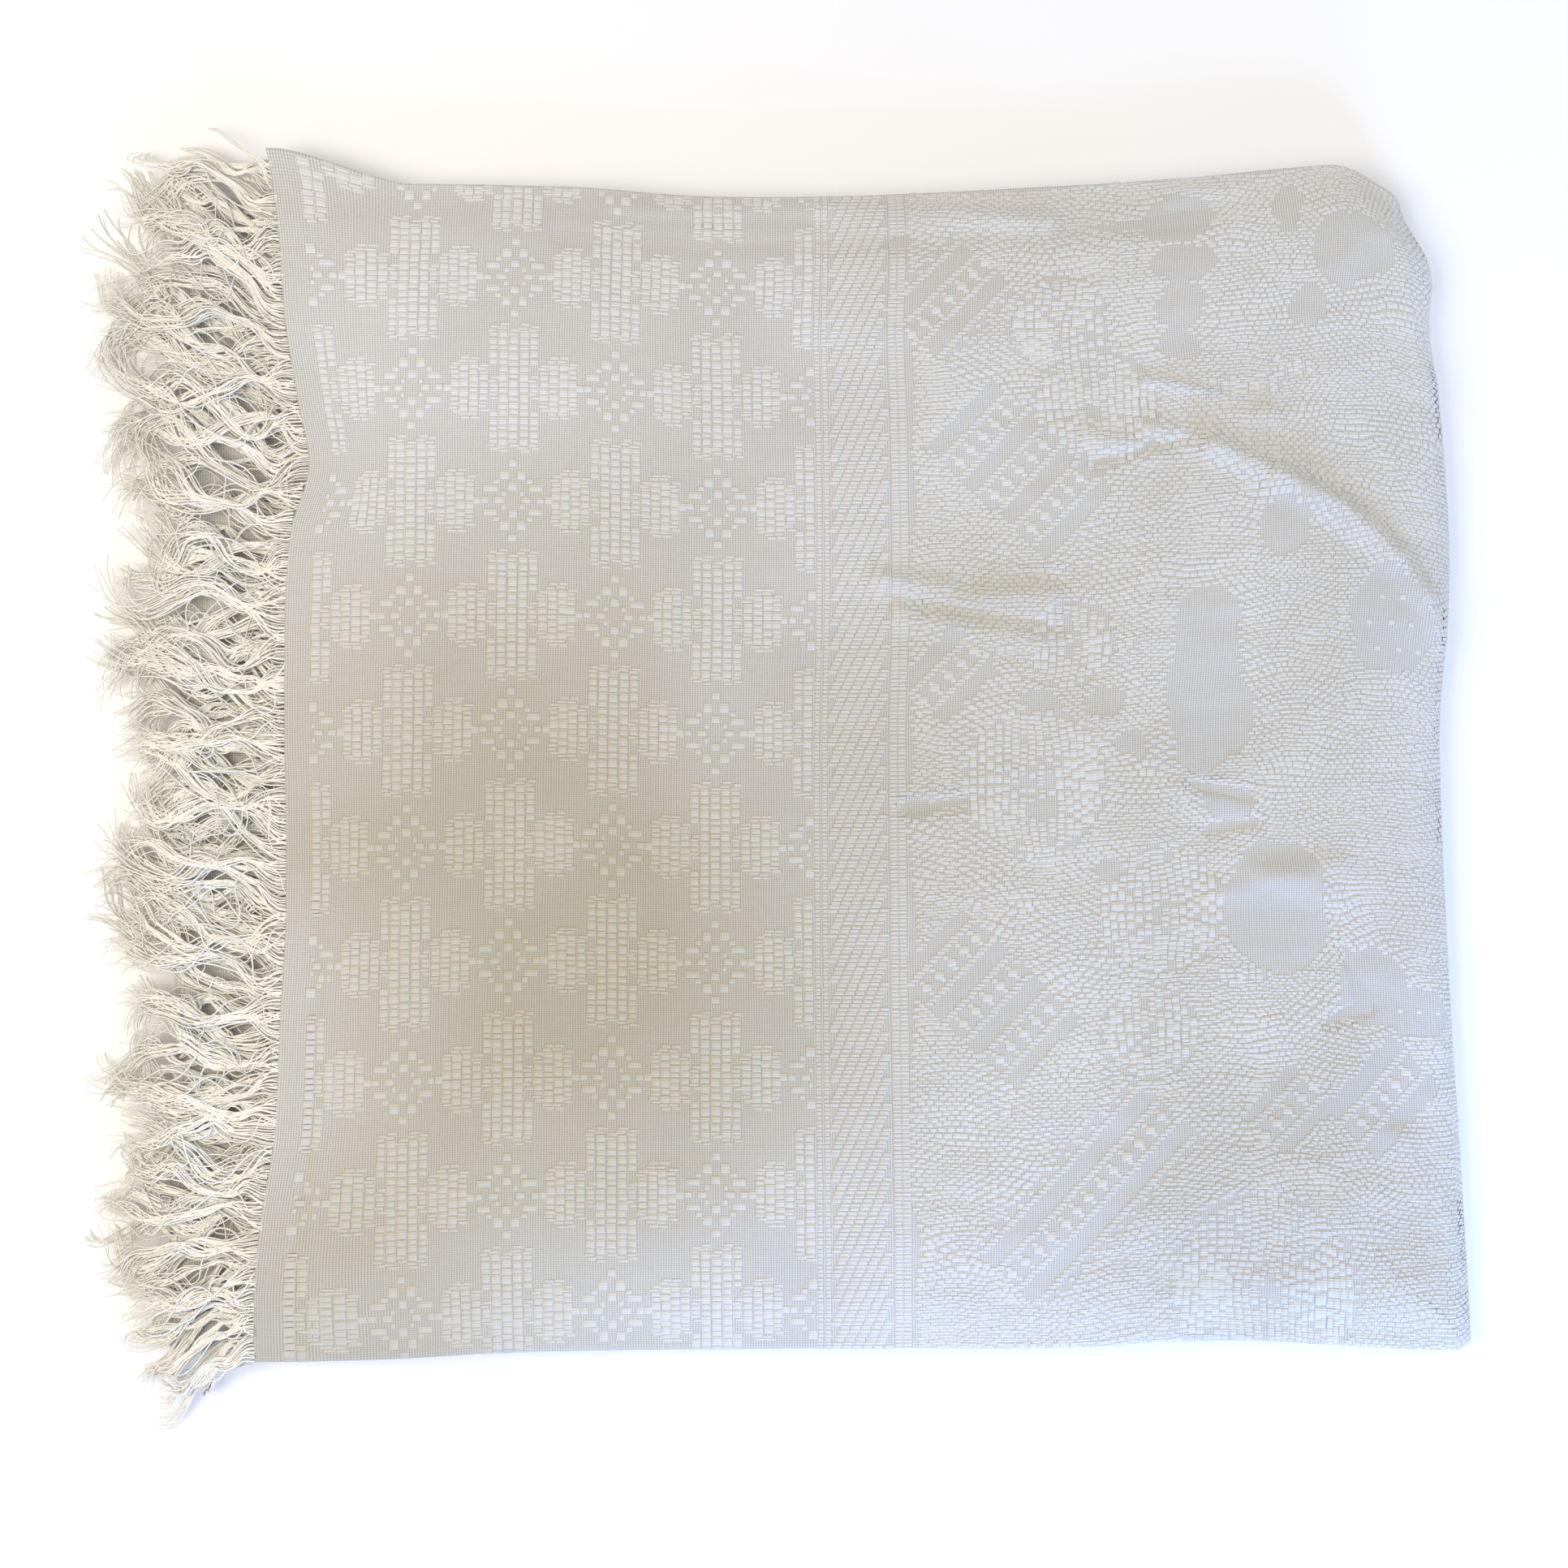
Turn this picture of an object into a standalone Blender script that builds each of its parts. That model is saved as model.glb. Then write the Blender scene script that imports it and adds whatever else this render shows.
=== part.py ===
"""A woven cotton bedspread with a cut fringe, folded in four each way and lying flat.

The cloth is one solid. Its closed section runs back and forth in four layers across Y, and that section is
swept back and forth in four passes along X, so sixteen layers lie in the pile. Two fringes leave the left end.
"""
import bmesh
import bpy
from math import cos, hypot, pi, radians, sin

MM = 0.001

# Sheet and folding sizes, in millimetres
CLOTH_THICK = 1.4
LAYER_PITCH = 2.0
PASS_GAP = 0.6
SECTION_HALF = 1.5 * LAYER_PITCH + CLOTH_THICK / 2
PASS_PITCH = 2 * SECTION_HALF + PASS_GAP
OUTER_BEND = 1.5 * PASS_PITCH
INNER_BEND = 0.5 * PASS_PITCH

# Plain rectangle of the folded pile before its outline is drawn in, in millimetres
RIGHT_END = 343.0
FRONT_END = -290.0
BACK_END = 313.0
TOP_HEM = -253.0
SECOND_HEM = -257.0
LEFT_FOLD = -313.0
BEND_X = RIGHT_END - OUTER_BEND - SECTION_HALF
LEFT_BEND_X = LEFT_FOLD + INNER_BEND + SECTION_HALF
FRONT_BEND_Y = FRONT_END + SECTION_HALF
BACK_BEND_Y = BACK_END - LAYER_PITCH / 2 - CLOTH_THICK / 2

# Where the sections and the layers have their points
CROSSWISE = (0.0, 0.06, 0.26, 0.50, 0.70, 0.75, 0.80, 0.95, 1.0)
LENGTHWISE = (-222.0, -150.0, -20.0, 110.0, 225.0, 290.0)

# Edge lines as they lie: the y of the back and front edges at each x, and the x of the right edge at each y
BACK_EDGE = ((-320, 306), (-240, 313), (-112, 312), (-45, 307), (36, 307), (120, 311), (204, 316), (268, 322),
             (306, 324), (343, 318))
FRONT_EDGE = ((-320, -287), (-265, -291), (-206, -290), (-130, -286), (54, -284), (134, -284), (214, -280),
              (330, -285), (346, -282))
RIGHT_EDGE = ((-290, 347), (-258, 346), (-177, 343), (-136, 341), (19, 338), (85, 344), (131, 345), (201, 341),
              (235, 337), (277, 342), (313, 340))
CORNER_PULL = (-17.0, -10.0)
CORNER_REACH = 62.0

# How the top hem wanders: y, shift in x, shift in y
HEM_SHIFT = ((-290, -13, 0), (-258, -12, 0), (-217, -8, 0), (-177, -2, 0), (-116, 0, 0), (-67, 2, 0),
             (68, -1, 0), (128, -1, 0), (162, 14, 0), (196, 3, 0), (235, -3, 0), (277, -8, 4), (313, -16, 14))
HEM_REACH = 150.0

# Share of the pile's height lost towards its edges, and how far in from the edge it is lost
SIDE_SINK = 0.20
SIDE_REACH = 70.0
LEFT_SINK = 0.08
# Broad swells of the pile: x, y, radius, share of the height
SWELLS = ((260, 130, 90, 0.05), (300, 240, 80, 0.08), (90, 100, 70, -0.05), (200, -150, 110, 0.04),
          (-150, 120, 120, 0.03), (-110, -180, 110, -0.02), (250, -60, 70, -0.04), (40, 250, 90, 0.03))
# Creases of the top layer: start x, y, end x, y, half width, rise
CREASES = ((192, 177, 247, 148, 10, 3.0), (247, 148, 297, 115, 11, 4.2), (297, 115, 338, 74, 12, 3.6),
           (186, 202, 244, 183, 8, 2.6), (157, 175, 200, 162, 8, 1.8), (50, 108, 134, 94, 13, 2.4),
           (60, 88, 130, 72, 11, 1.6), (222, -62, 284, -50, 13, 1.8), (318, 278, 336, 196, 9, 1.6))

# Small shifts of the four passes in the pile
PASS_DRIFT = {"first": 0.0, "second": -0.8, "third": 1.2, "fourth": -1.5}

# Fringe sizes, in millimetres
STRIP_GAP = 0.35
STRIP_WIDTH = 3.0
LOCKS_PER_ROW = 34
# A lock's build: share of its length, width, thickness
LOCK_BUILD = ((0.0, 6.5, 1.6), (0.2, 5.6, 2.0), (0.5, 5.0, 2.1), (0.8, 3.8, 1.6), (1.0, 1.6, 0.9))
TIP_LEAST = 7.0
SETTLE_LENGTH = 26.0
# What the fringe lies on, and the places of the locks' sections: x, share of the resting level
REST_LEVEL = 16.4
LEDGE = ((-354, 0.0), (-340, 0.0), (-329, 0.32), (-318, 0.72), (-306, 1.0), (-288, 1.0), (-270, 1.0))
SIDE_FALL = 42.0
# Height from one row of locks to the next, over the hem and at the far end
ROW_STEP = 3.5
ROW_STEP_TIP = 2.8
BODY_WIDTH = BACK_END - FRONT_END
# Sideways drift of the tips: its size, its wave along the hem, and how far the wave is off from row to row
FLOW = 6.0
FLOW_WAVE = 36.0
FLOW_ROW_PHASE = 1.9
# Each lock's own waver, its turn along the lock, and the spread in length
WAVER = 2.2
WAVER_TURN = 8.0
LENGTH_SPREAD = 0.24
# How far the tips lean to the back or the front: y at the root, shift in y
SPLAY = ((-292, -46), (-268, -20), (-225, -6), (-150, 4), (-100, 14), (0, 9), (90, 10), (150, 20), (200, 30),
         (250, 32), (285, 29), (325, 24))
# Left end of the longest locks: y at the tip, x
REACH = ((-345, -313), (-300, -318), (-278, -330), (-233, -349), (-197, -332), (-155, -347), (-120, -330),
         (-62, -350), (-14, -334), (30, -338), (83, -351), (130, -334), (160, -345), (235, -364), (290, -356),
         (330, -332), (350, -312))

# Sizes of the top layer's finer faces: least crease that cuts them finest, and how far they may dip
CREASE_LEAST = 0.2
DIP_MOST = 0.3

CREAM = (0.72, 0.69, 0.60, 1.0)
FRINGE_CREAM = (0.78, 0.76, 0.69, 1.0)


def soft(t):
    """Rise smoothly from 0 to 1."""
    t = min(max(t, 0.0), 1.0)
    return t * t * (3 - 2 * t)


def read_table(rows, at, column=1):
    """Value of a column at a place, on a smooth curve through the rows."""
    keys = [row[0] for row in rows]
    values = [row[column] for row in rows]
    if at <= keys[0]:
        return values[0]
    if at >= keys[-1]:
        return values[-1]
    i = max(k for k in range(len(keys) - 1) if keys[k] <= at)
    slopes = []
    for k in (i, i + 1):
        low, high = max(k - 1, 0), min(k + 1, len(keys) - 1)
        slopes.append((values[high] - values[low]) / (keys[high] - keys[low]))
    span = keys[i + 1] - keys[i]
    t = (at - keys[i]) / span
    rise = values[i + 1] - values[i]
    blend = values[i] + rise * t * t * (3 - 2 * t)
    return blend + span * t * (1 - t) * (slopes[0] * (1 - t) - slopes[1] * t)


def lay(x, y, z, hem_share, drift):
    """Move a point of the plain rectangular pile to where the real one lies."""
    across = (y - FRONT_END) / (BACK_END - FRONT_END)
    along = max(0.0, (x - TOP_HEM) / (RIGHT_END - TOP_HEM))
    shift_x = (read_table(RIGHT_EDGE, y) - RIGHT_END) * along * along
    shift_y = (read_table(BACK_EDGE, x) - BACK_END) * across
    shift_y += (read_table(FRONT_EDGE, x) - FRONT_END) * (1 - across)
    corner = soft(1 - (RIGHT_END - x) / CORNER_REACH) * soft(1 - (BACK_END - y) / CORNER_REACH)
    fade = hem_share * (1 - soft((x - TOP_HEM) / HEM_REACH))
    shift_x += CORNER_PULL[0] * corner + fade * read_table(HEM_SHIFT, y, 1)
    shift_y += CORNER_PULL[1] * corner + fade * read_table(HEM_SHIFT, y, 2)
    return x + shift_x, y + shift_y + drift, z * height_share(x, y)


def height_share(x, y):
    """Share of its plain height that the pile has at a place."""
    near_side = min(y - FRONT_END, BACK_END - y, RIGHT_END - x) / SIDE_REACH
    share = 1 - SIDE_SINK * (1 - soft(near_side)) - LEFT_SINK * (1 - soft((x - LEFT_FOLD) / (2 * SIDE_REACH)))
    for centre_x, centre_y, radius, rise in SWELLS:
        share += rise * 2.0 ** (-2 * ((x - centre_x) ** 2 + (y - centre_y) ** 2) / radius ** 2)
    return share


def crease_height(x, y):
    """Rise of the top layer's creases at a place."""
    rise = 0.0
    for x0, y0, x1, y1, half_width, height in CREASES:
        length = hypot(x1 - x0, y1 - y0)
        along = ((x - x0) * (x1 - x0) + (y - y0) * (y1 - y0)) / length
        beside = ((x - x0) * (y1 - y0) - (y - y0) * (x1 - x0)) / length
        over = max(-along, along - length, 0.0)
        rise = max(rise, height * (1 - soft(hypot(over, beside) / half_width)))
    return rise


def section_midline():
    """Midline of the four layers: y, height, the way it faces, and the layer's letter."""
    width = BACK_BEND_Y - FRONT_BEND_Y
    places = [FRONT_BEND_Y + width * share for share in CROSSWISE]

    def layer(letter, level, backwards):
        way = -1 if backwards else 1
        order = reversed(places) if backwards else places
        return [(y, level, 0.0, float(way), letter) for y in order]

    def bend(centre_y, centre_h, radius, start, turn, steps):
        """Points between the two ends of a half turn, which the layers already have."""
        points = []
        for k in range(1, steps):
            angle = radians(start + turn * k / steps)
            side = -1 if turn > 0 else 1
            across, up = cos(angle), sin(angle)
            spot = (centre_y + radius * across, centre_h + radius * up)
            points.append(spot + (side * across, side * up, "bend"))
        return points

    half = LAYER_PITCH / 2
    line = layer("c", -half, True)
    line += bend(FRONT_BEND_Y, 0.0, half, 270, -180, 2)
    line += layer("b", half, False)
    line += bend(BACK_BEND_Y, LAYER_PITCH, half, -90, 180, 3)
    line += layer("a", 3 * half, True)
    line += bend(FRONT_BEND_Y, 0.0, 3 * half, 90, 180, 4)
    line += layer("d", -3 * half, False)
    return line


def pass_stations(name, left_end, height, facing, hem_share):
    """One pass of the sweep, read from left to right."""
    places = [left_end] + [x for x in LENGTHWISE if x > left_end] + [BEND_X]
    if left_end < SECOND_HEM:
        places.insert(1, TOP_HEM)
    return [(x, height, 0.0, facing, hem_share, PASS_DRIFT[name]) for x in places]


def turn_stations(before, after, centre, radius, start, turn, steps):
    """The stations of a half turn between two passes, whose other values run from one to the other."""
    stations = []
    facing = -1 if turn > 0 else 1
    for k in range(1, steps):
        angle = radians(start + turn * k / steps)
        along, up = cos(angle), sin(angle)
        share, drift = (before[i] + (after[i] - before[i]) * k / steps for i in (4, 5))
        spot = (centre[0] + radius * along, centre[1] + radius * up)
        stations.append(spot + (facing * along, facing * up, share, drift))
    return stations


def sweep_path():
    """Stations from the top hem round to the second hem: x, z, the way the section faces, hem share, drift."""
    levels = [SECTION_HALF + PASS_PITCH * k for k in range(4)]
    first = pass_stations("first", TOP_HEM, levels[3], 1.0, 1.0)
    fourth = pass_stations("fourth", LEFT_BEND_X, levels[0], -1.0, 0.0)[::-1]
    third = pass_stations("third", LEFT_BEND_X, levels[1], 1.0, 0.0)
    second = pass_stations("second", SECOND_HEM, levels[2], -1.0, 0.9)[::-1]
    spine = (BEND_X, (levels[0] + levels[3]) / 2)
    fold = (LEFT_BEND_X, (levels[0] + levels[1]) / 2)
    path = first + turn_stations(first[-1], fourth[0], spine, OUTER_BEND, 90, -180, 6)
    path += fourth + turn_stations(fourth[-1], third[0], fold, INNER_BEND, 270, -180, 4)
    path += third + turn_stations(third[-1], second[0], spine, INNER_BEND, -90, 180, 4)
    return path + second


def section_ring(station, midline):
    """Both sides of the section at one station, each as a list of laid points."""
    x, z, facing_x, facing_z, hem_share, drift = station
    sides = []
    for side in (1, -1):
        points = []
        for y, level, out_y, out_h, _ in midline:
            height = level + side * out_h * CLOTH_THICK / 2
            place = (x + height * facing_x, y + side * out_y * CLOTH_THICK / 2, z + height * facing_z)
            points.append((place, lay(*place, hem_share, drift)))
        sides.append(points)
    return sides


def add_cloth():
    """The sixteen layers as one closed sheet."""
    bm = bmesh.new()
    layers = [bm.verts.layers.float.new(name) for name in ("plain_x", "plain_y", "inside")]
    midline = section_midline()
    half = len(midline)
    count = 2 * half
    top_pass_end = len(LENGTHWISE) + 1
    rings = []
    for i, station in enumerate(sweep_path()):
        sides = section_ring(station, midline)
        ring = []
        for side, order in ((0, range(half)), (1, reversed(range(half)))):
            for j in order:
                place, laid = sides[side][j]
                vert = bm.verts.new([c * MM for c in laid])
                on_top = side == 1 and all(midline[n][4] == "a" for n in (j - 1, j, j + 1) if n < half)
                inside = 1.0 if on_top and 0 < i < top_pass_end else 0.0
                for layer, value in zip(layers, (place[0], place[1], inside)):
                    vert[layer] = value
                ring.append(vert)
        rings.append(ring)
    for near, far in zip(rings, rings[1:]):
        for j in range(count):
            k = (j + 1) % count
            bm.faces.new((near[j], far[j], far[k], near[k]))
    for ring in (rings[0], rings[-1]):
        for j in range(half - 1):
            bm.faces.new((ring[j], ring[j + 1], ring[count - 2 - j], ring[count - 1 - j]))
    raise_top(bm, *layers)
    return bm


def raise_top(bm, plain_x, plain_y, inside):
    """Cut the upper side of the top layer finer, finest at its creases, and give it their height."""

    def on_top(face):
        return max(vert[inside] for vert in face.verts) > 0.0

    def creased(face):
        return on_top(face) and any(crease_height(v[plain_x], v[plain_y]) > CREASE_LEAST for v in face.verts)

    for wanted in (on_top, creased):
        edges = {edge for face in bm.faces if wanted(face) for edge in face.edges}
        bmesh.ops.subdivide_edges(bm, edges=list(edges), cuts=2, use_grid_fill=True)
    top_level = 4 * PASS_PITCH - PASS_GAP
    for vert in bm.verts:
        if vert[inside] > 0.0:
            x, y = vert[plain_x], vert[plain_y]
            smooth_level = max(top_level * height_share(x, y), vert.co.z / MM - DIP_MOST)
            target = smooth_level + crease_height(x, y)
            vert.co.z += soft(2 * vert[inside]) * (target * MM - vert.co.z)


def noise(i, seed):
    """A fixed number between 0 and 1 for each lock."""
    return (sin(12.9898 * i + 78.233 * seed) * 43758.5453) % 1.0


def read_line(rows, at, column=1):
    """Value of a column at a place, on straight lines between the rows."""
    if at <= rows[0][0]:
        return rows[0][column]
    for low, high in zip(rows, rows[1:]):
        if at <= high[0]:
            return low[column] + (high[column] - low[column]) * (at - low[0]) / (high[0] - low[0])
    return rows[-1][column]


def rest_height(x, y):
    """Level that the fringe rests on: the lower layers near the hem, then the floor."""
    beyond_side = max(y - BACK_END, FRONT_END - y, 0.0)
    level = REST_LEVEL * height_share(TOP_HEM, y) * (1 - soft(beyond_side / SIDE_FALL))
    return level * read_line(LEDGE, x)


def lock_course(root, rank, index):
    """Sections of one lock, from its root in the strip to its tip: centre, width, thickness."""
    root_x, root_y, root_z = root
    tip_y = root_y + FLOW * sin(root_y / FLOW_WAVE + FLOW_ROW_PHASE * rank) + read_table(SPLAY, root_y)
    share = 1.0 - LENGTH_SPREAD * noise(index, rank)
    tip_x = root_x + (read_table(REACH, tip_y) - root_x) * share
    swing = 2 * pi * noise(index, rank + 7)
    course = []
    for x in [row[0] for row in LEDGE[::-1] if tip_x + TIP_LEAST < row[0] < root_x - TIP_LEAST] + [tip_x]:
        t = (x - root_x) / (tip_x - root_x)
        y = root_y + (tip_y - root_y) * soft(t) + WAVER * t * sin(WAVER_TURN * t + swing)
        width, thick = (read_line(LOCK_BUILD, t, column) for column in (1, 2))
        step = read_line(((LEDGE[0][0], ROW_STEP_TIP), (LEDGE[-1][0], ROW_STEP)), x)
        rest = rest_height(x, y) + thick / 2 + rank * step
        settle = soft((root_x - x) / SETTLE_LENGTH)
        course.append(((x, y, root_z + (rest - root_z) * settle), width, thick))
    return course


def add_lock(bm, root_face, rank, index):
    """Pull one lock out of its root face, section by section."""
    middle = root_face.calc_center_median() / MM
    corners = []
    for vert in root_face.verts:
        spot = vert.co / MM
        corners.append((vert, 1 if spot.y > middle.y else -1, 1 if spot.z > middle.z else -1))
    course = lock_course(tuple(middle), rank, index)
    face = root_face
    before = middle
    for k, (centre, width, thick) in enumerate(course):
        after = course[min(k + 1, len(course) - 1)][0]
        way_x, way_y = after[0] - before[0], after[1] - before[1]
        reach = width / 2 / hypot(way_x, way_y)
        face = bmesh.ops.extrude_discrete_faces(bm, faces=[face])["faces"][0]
        moved = []
        for old_vert, beside, above in corners:
            vert = min(face.verts, key=lambda v: (v.co - old_vert.co).length)
            moved.append((vert, beside, above))
        for vert, beside, above in moved:
            place = (centre[0] + beside * reach * way_y, centre[1] - beside * reach * way_x,
                     centre[2] + above * thick / 2)
            vert.co = [c * MM for c in place]
        corners = moved
        before = centre


def add_fringe(hem_station, rows):
    """One fringe: a strip parted from the hem, and rows of locks that leave two of its layers."""
    bm = bmesh.new()
    midline = section_midline()
    x, z, facing_x, facing_z, hem_share, drift = hem_station
    near, far = ([[bm.verts.new([c * MM for c in laid]) for _, laid in side]
                  for side in section_ring((x - gap, z, facing_x, facing_z, hem_share, drift), midline)]
                 for gap in (STRIP_GAP, STRIP_GAP + STRIP_WIDTH))
    roots = []
    for j in range(len(midline) - 1):
        letter = midline[j][4] if midline[j][4] == midline[j + 1][4] else "bend"
        cuts = 1
        if letter in rows:
            cuts = 2 * max(1, round(abs(midline[j + 1][0] - midline[j][0]) * LOCKS_PER_ROW / BODY_WIDTH))
        rails = [split_edge(bm, far[side][j], far[side][j + 1], cuts) for side in (0, 1)]
        for side in (0, 1):
            fan(bm, near[side][j], near[side][j + 1], rails[side])
        bm.faces.new((near[0][j], near[0][j + 1], near[1][j + 1], near[1][j]))
        for k in range(cuts):
            face = bm.faces.new((rails[0][k], rails[0][k + 1], rails[1][k + 1], rails[1][k]))
            if letter in rows and k % 2 == 0:
                roots.append((face, rows[letter]))
    for j in (0, -1):
        bm.faces.new((near[0][j], near[1][j], far[1][j], far[0][j]))
    for index, (face, rank) in enumerate(roots):
        add_lock(bm, face, rank, index)
    return bm


def split_edge(bm, start, end, cuts):
    """Vertices from start to end, with even ones added between."""
    added = [bm.verts.new(start.co.lerp(end.co, k / cuts)) for k in range(1, cuts)]
    return [start] + added + [end]


def fan(bm, start, end, rail):
    """Close the wall between a plain edge and a divided one."""
    if len(rail) == 2:
        bm.faces.new((start, end, rail[1], rail[0]))
        return
    middle = len(rail) // 2
    for k in range(len(rail) - 1):
        bm.faces.new((start if k < middle else end, rail[k + 1], rail[k]))
    bm.faces.new((start, end, rail[middle]))


def add_node(name, bm, colour, roughness):
    """One solid as a named object with its own material."""
    bmesh.ops.recalc_face_normals(bm, faces=bm.faces)
    mesh = bpy.data.meshes.new(name)
    bm.to_mesh(mesh)
    bm.free()
    material = bpy.data.materials.new(name + "_cotton")
    material.use_nodes = True
    shader = material.node_tree.nodes["Principled BSDF"]
    shader.inputs["Base Color"].default_value = colour
    shader.inputs["Roughness"].default_value = roughness
    shader.inputs["Metallic"].default_value = 0.0
    mesh.materials.append(material)
    node = bpy.data.objects.new(name, mesh)
    bpy.context.collection.objects.link(node)
    return node


def centre_on_floor(nodes):
    """Bring the middle of the whole part's outline over the origin."""
    xs = [v.co.x for node in nodes for v in node.data.vertices]
    ys = [v.co.y for node in nodes for v in node.data.vertices]
    shift_x, shift_y = -(min(xs) + max(xs)) / 2, -(min(ys) + max(ys)) / 2
    for node in nodes:
        for vert in node.data.vertices:
            vert.co.x += shift_x
            vert.co.y += shift_y
    print("shift in mm", round(shift_x / MM, 3), round(shift_y / MM, 3))
    print("size in mm", [round((max(c) - min(c)) / MM, 1) for c in (xs, ys)])


def main():
    for old in list(bpy.data.objects):
        bpy.data.objects.remove(old, do_unlink=True)
    path = sweep_path()
    nodes = [
        add_node("bedspread_cloth", add_cloth(), CREAM, 0.9),
        add_node("fringe_upper", add_fringe(path[0], {"a": 3, "c": 2}), FRINGE_CREAM, 0.85),
        add_node("fringe_lower", add_fringe(path[-1], {"d": 1, "b": 0}), FRINGE_CREAM, 0.85),
    ]
    centre_on_floor(nodes)


main()
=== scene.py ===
# %% [markdown]
# # A fringed bedspread, folded flat
# The real object is one wide piece of woven cotton. Its raised pattern is made on the loom by threads that
# float over the ground cloth, and its ends are left as loose threads, gathered into a fringe. It was folded
# in four each way, so sixteen layers lie in a low pile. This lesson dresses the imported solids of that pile.
# The size, the folds and the edge lines follow the solids within a few millimetres, and the lesson adds what
# a solid can't hold: the weave, the raised threads, the small creases and the loose fringe.

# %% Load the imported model
from math import cos, pi, radians, sin

import bmesh
import bpy
import numpy as np
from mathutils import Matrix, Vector


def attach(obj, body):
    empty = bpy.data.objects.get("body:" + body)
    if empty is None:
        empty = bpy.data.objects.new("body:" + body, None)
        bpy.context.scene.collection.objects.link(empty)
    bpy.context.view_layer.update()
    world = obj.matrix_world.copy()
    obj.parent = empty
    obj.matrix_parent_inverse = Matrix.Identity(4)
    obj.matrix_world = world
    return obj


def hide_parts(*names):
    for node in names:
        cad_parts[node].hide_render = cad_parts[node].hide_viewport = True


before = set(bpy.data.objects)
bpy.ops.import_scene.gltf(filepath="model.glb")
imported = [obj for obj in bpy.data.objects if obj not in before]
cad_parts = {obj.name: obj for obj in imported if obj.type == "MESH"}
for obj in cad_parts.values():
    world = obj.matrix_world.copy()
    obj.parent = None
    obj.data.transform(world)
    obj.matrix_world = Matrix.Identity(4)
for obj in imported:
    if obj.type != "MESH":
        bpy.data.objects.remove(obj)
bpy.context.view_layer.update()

MM = 0.001

# %% [markdown]
# ## The camera
# The bedspread was photographed from almost straight above, from its front side. A tilt of only a few degrees
# makes the far edge a little narrower than the near one. A lens close to 47 mm, about a metre away, gives the
# same narrowing. The camera is turned directly, not by a tracking constraint, so nothing can move it later.

# %% Place the camera
CAMERA_AIM = Vector((6.9, -12.8, 30.0)) * MM
CAMERA_DISTANCE = 1.027
CAMERA_ELEVATION = radians(86.0)

camera_data = bpy.data.cameras.new("camera")
camera_data.lens = 46.6
camera = bpy.data.objects.new("camera", camera_data)
bpy.context.collection.objects.link(camera)
camera.location = CAMERA_AIM + CAMERA_DISTANCE * Vector((0, -cos(CAMERA_ELEVATION), sin(CAMERA_ELEVATION)))
camera.rotation_euler = (pi / 2 - CAMERA_ELEVATION, 0, 0)
bpy.context.scene.camera = camera

# %% [markdown]
# ## The sizes of the fold
# The pile is a section of four layers that runs back and forth across Y, swept back and forth in four passes
# along X. These are the sizes of that fold in the solids, repeated here because this script reads only the
# frame. All of them are millimetres, before the pile was centred over the origin.

# %% Fold sizes
CLOTH_THICK = 1.4
LAYER_PITCH = 2.0
SECTION_HALF = 1.5 * LAYER_PITCH + CLOTH_THICK / 2
PASS_PITCH = 2 * SECTION_HALF + 0.6
OUTER_BEND = 1.5 * PASS_PITCH
INNER_BEND = 0.5 * PASS_PITCH
RIGHT_END, FRONT_END, BACK_END = 343.0, -290.0, 313.0
TOP_HEM, SECOND_HEM, LEFT_FOLD = -253.0, -257.0, -313.0
BEND_X = RIGHT_END - OUTER_BEND - SECTION_HALF
LEFT_BEND_X = LEFT_FOLD + INNER_BEND + SECTION_HALF
FRONT_BEND_Y = FRONT_END + SECTION_HALF
BACK_RADIUS = LAYER_PITCH / 2 + CLOTH_THICK / 2
BACK_BEND_Y = BACK_END - BACK_RADIUS
LEVELS = [SECTION_HALF + PASS_PITCH * k for k in range(4)]
SPINE_Z = (LEVELS[0] + LEVELS[3]) / 2
PASS_DRIFT = {"first": 0.0, "second": -0.8, "third": 1.2, "fourth": -1.5}
CENTRE_SHIFT = np.array((6.918, -11.787, 0.0))

# %% [markdown]
# ## The way the pile really lies
# Hand-folded cloth has no straight edge. Short tables hold how far each edge wanders, how the hem waves and
# where the pile swells. One function reads a table on a smooth curve, and numpy does it for a whole array of
# points at once, which keeps a mesh of a hundred thousand points quick.

# %% Edge lines and swells
# Places of the edges: x and the y of the edge there, or y and the x of the edge there
BACK_EDGE = ((-320, 306), (-240, 313), (-112, 312), (-45, 307), (36, 307), (120, 311), (204, 316), (268, 322),
             (306, 324), (343, 318))
FRONT_EDGE = ((-320, -287), (-265, -291), (-206, -290), (-130, -286), (54, -284), (134, -284), (214, -280),
              (330, -285), (346, -282))
RIGHT_EDGE = ((-290, 347), (-258, 346), (-177, 343), (-136, 341), (19, 338), (85, 344), (131, 345),
              (201, 341), (235, 337), (277, 342), (313, 340))
# How far the far right corner is pulled in, and over what distance
CORNER_PULL = (-17.0, -10.0)
CORNER_REACH = 62.0
# Waves of the hem, which fade out over the reach: y, shift along x, shift along y
HEM_SHIFT = ((-290, -13, 0), (-258, -12, 0), (-217, -8, 0), (-177, -2, 0), (-116, 0, 0), (-67, 2, 0),
             (68, -1, 0), (128, 1, 0), (162, 10, 0), (196, 4, 0), (235, -3, 0), (277, -8, 4),
             (300, -13, 12), (313, -18, 21))
HEM_REACH = 60.0
# Shares of its height that the pile loses at its sides, its shoulders and the fringe, and over what distance
SIDE_SINK, SIDE_REACH = 0.20, 70.0
SHOULDER_SINK, SHOULDER_REACH = 0.13, 30.0
LEFT_SINK, LEFT_REACH = 0.08, 140.0
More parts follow.
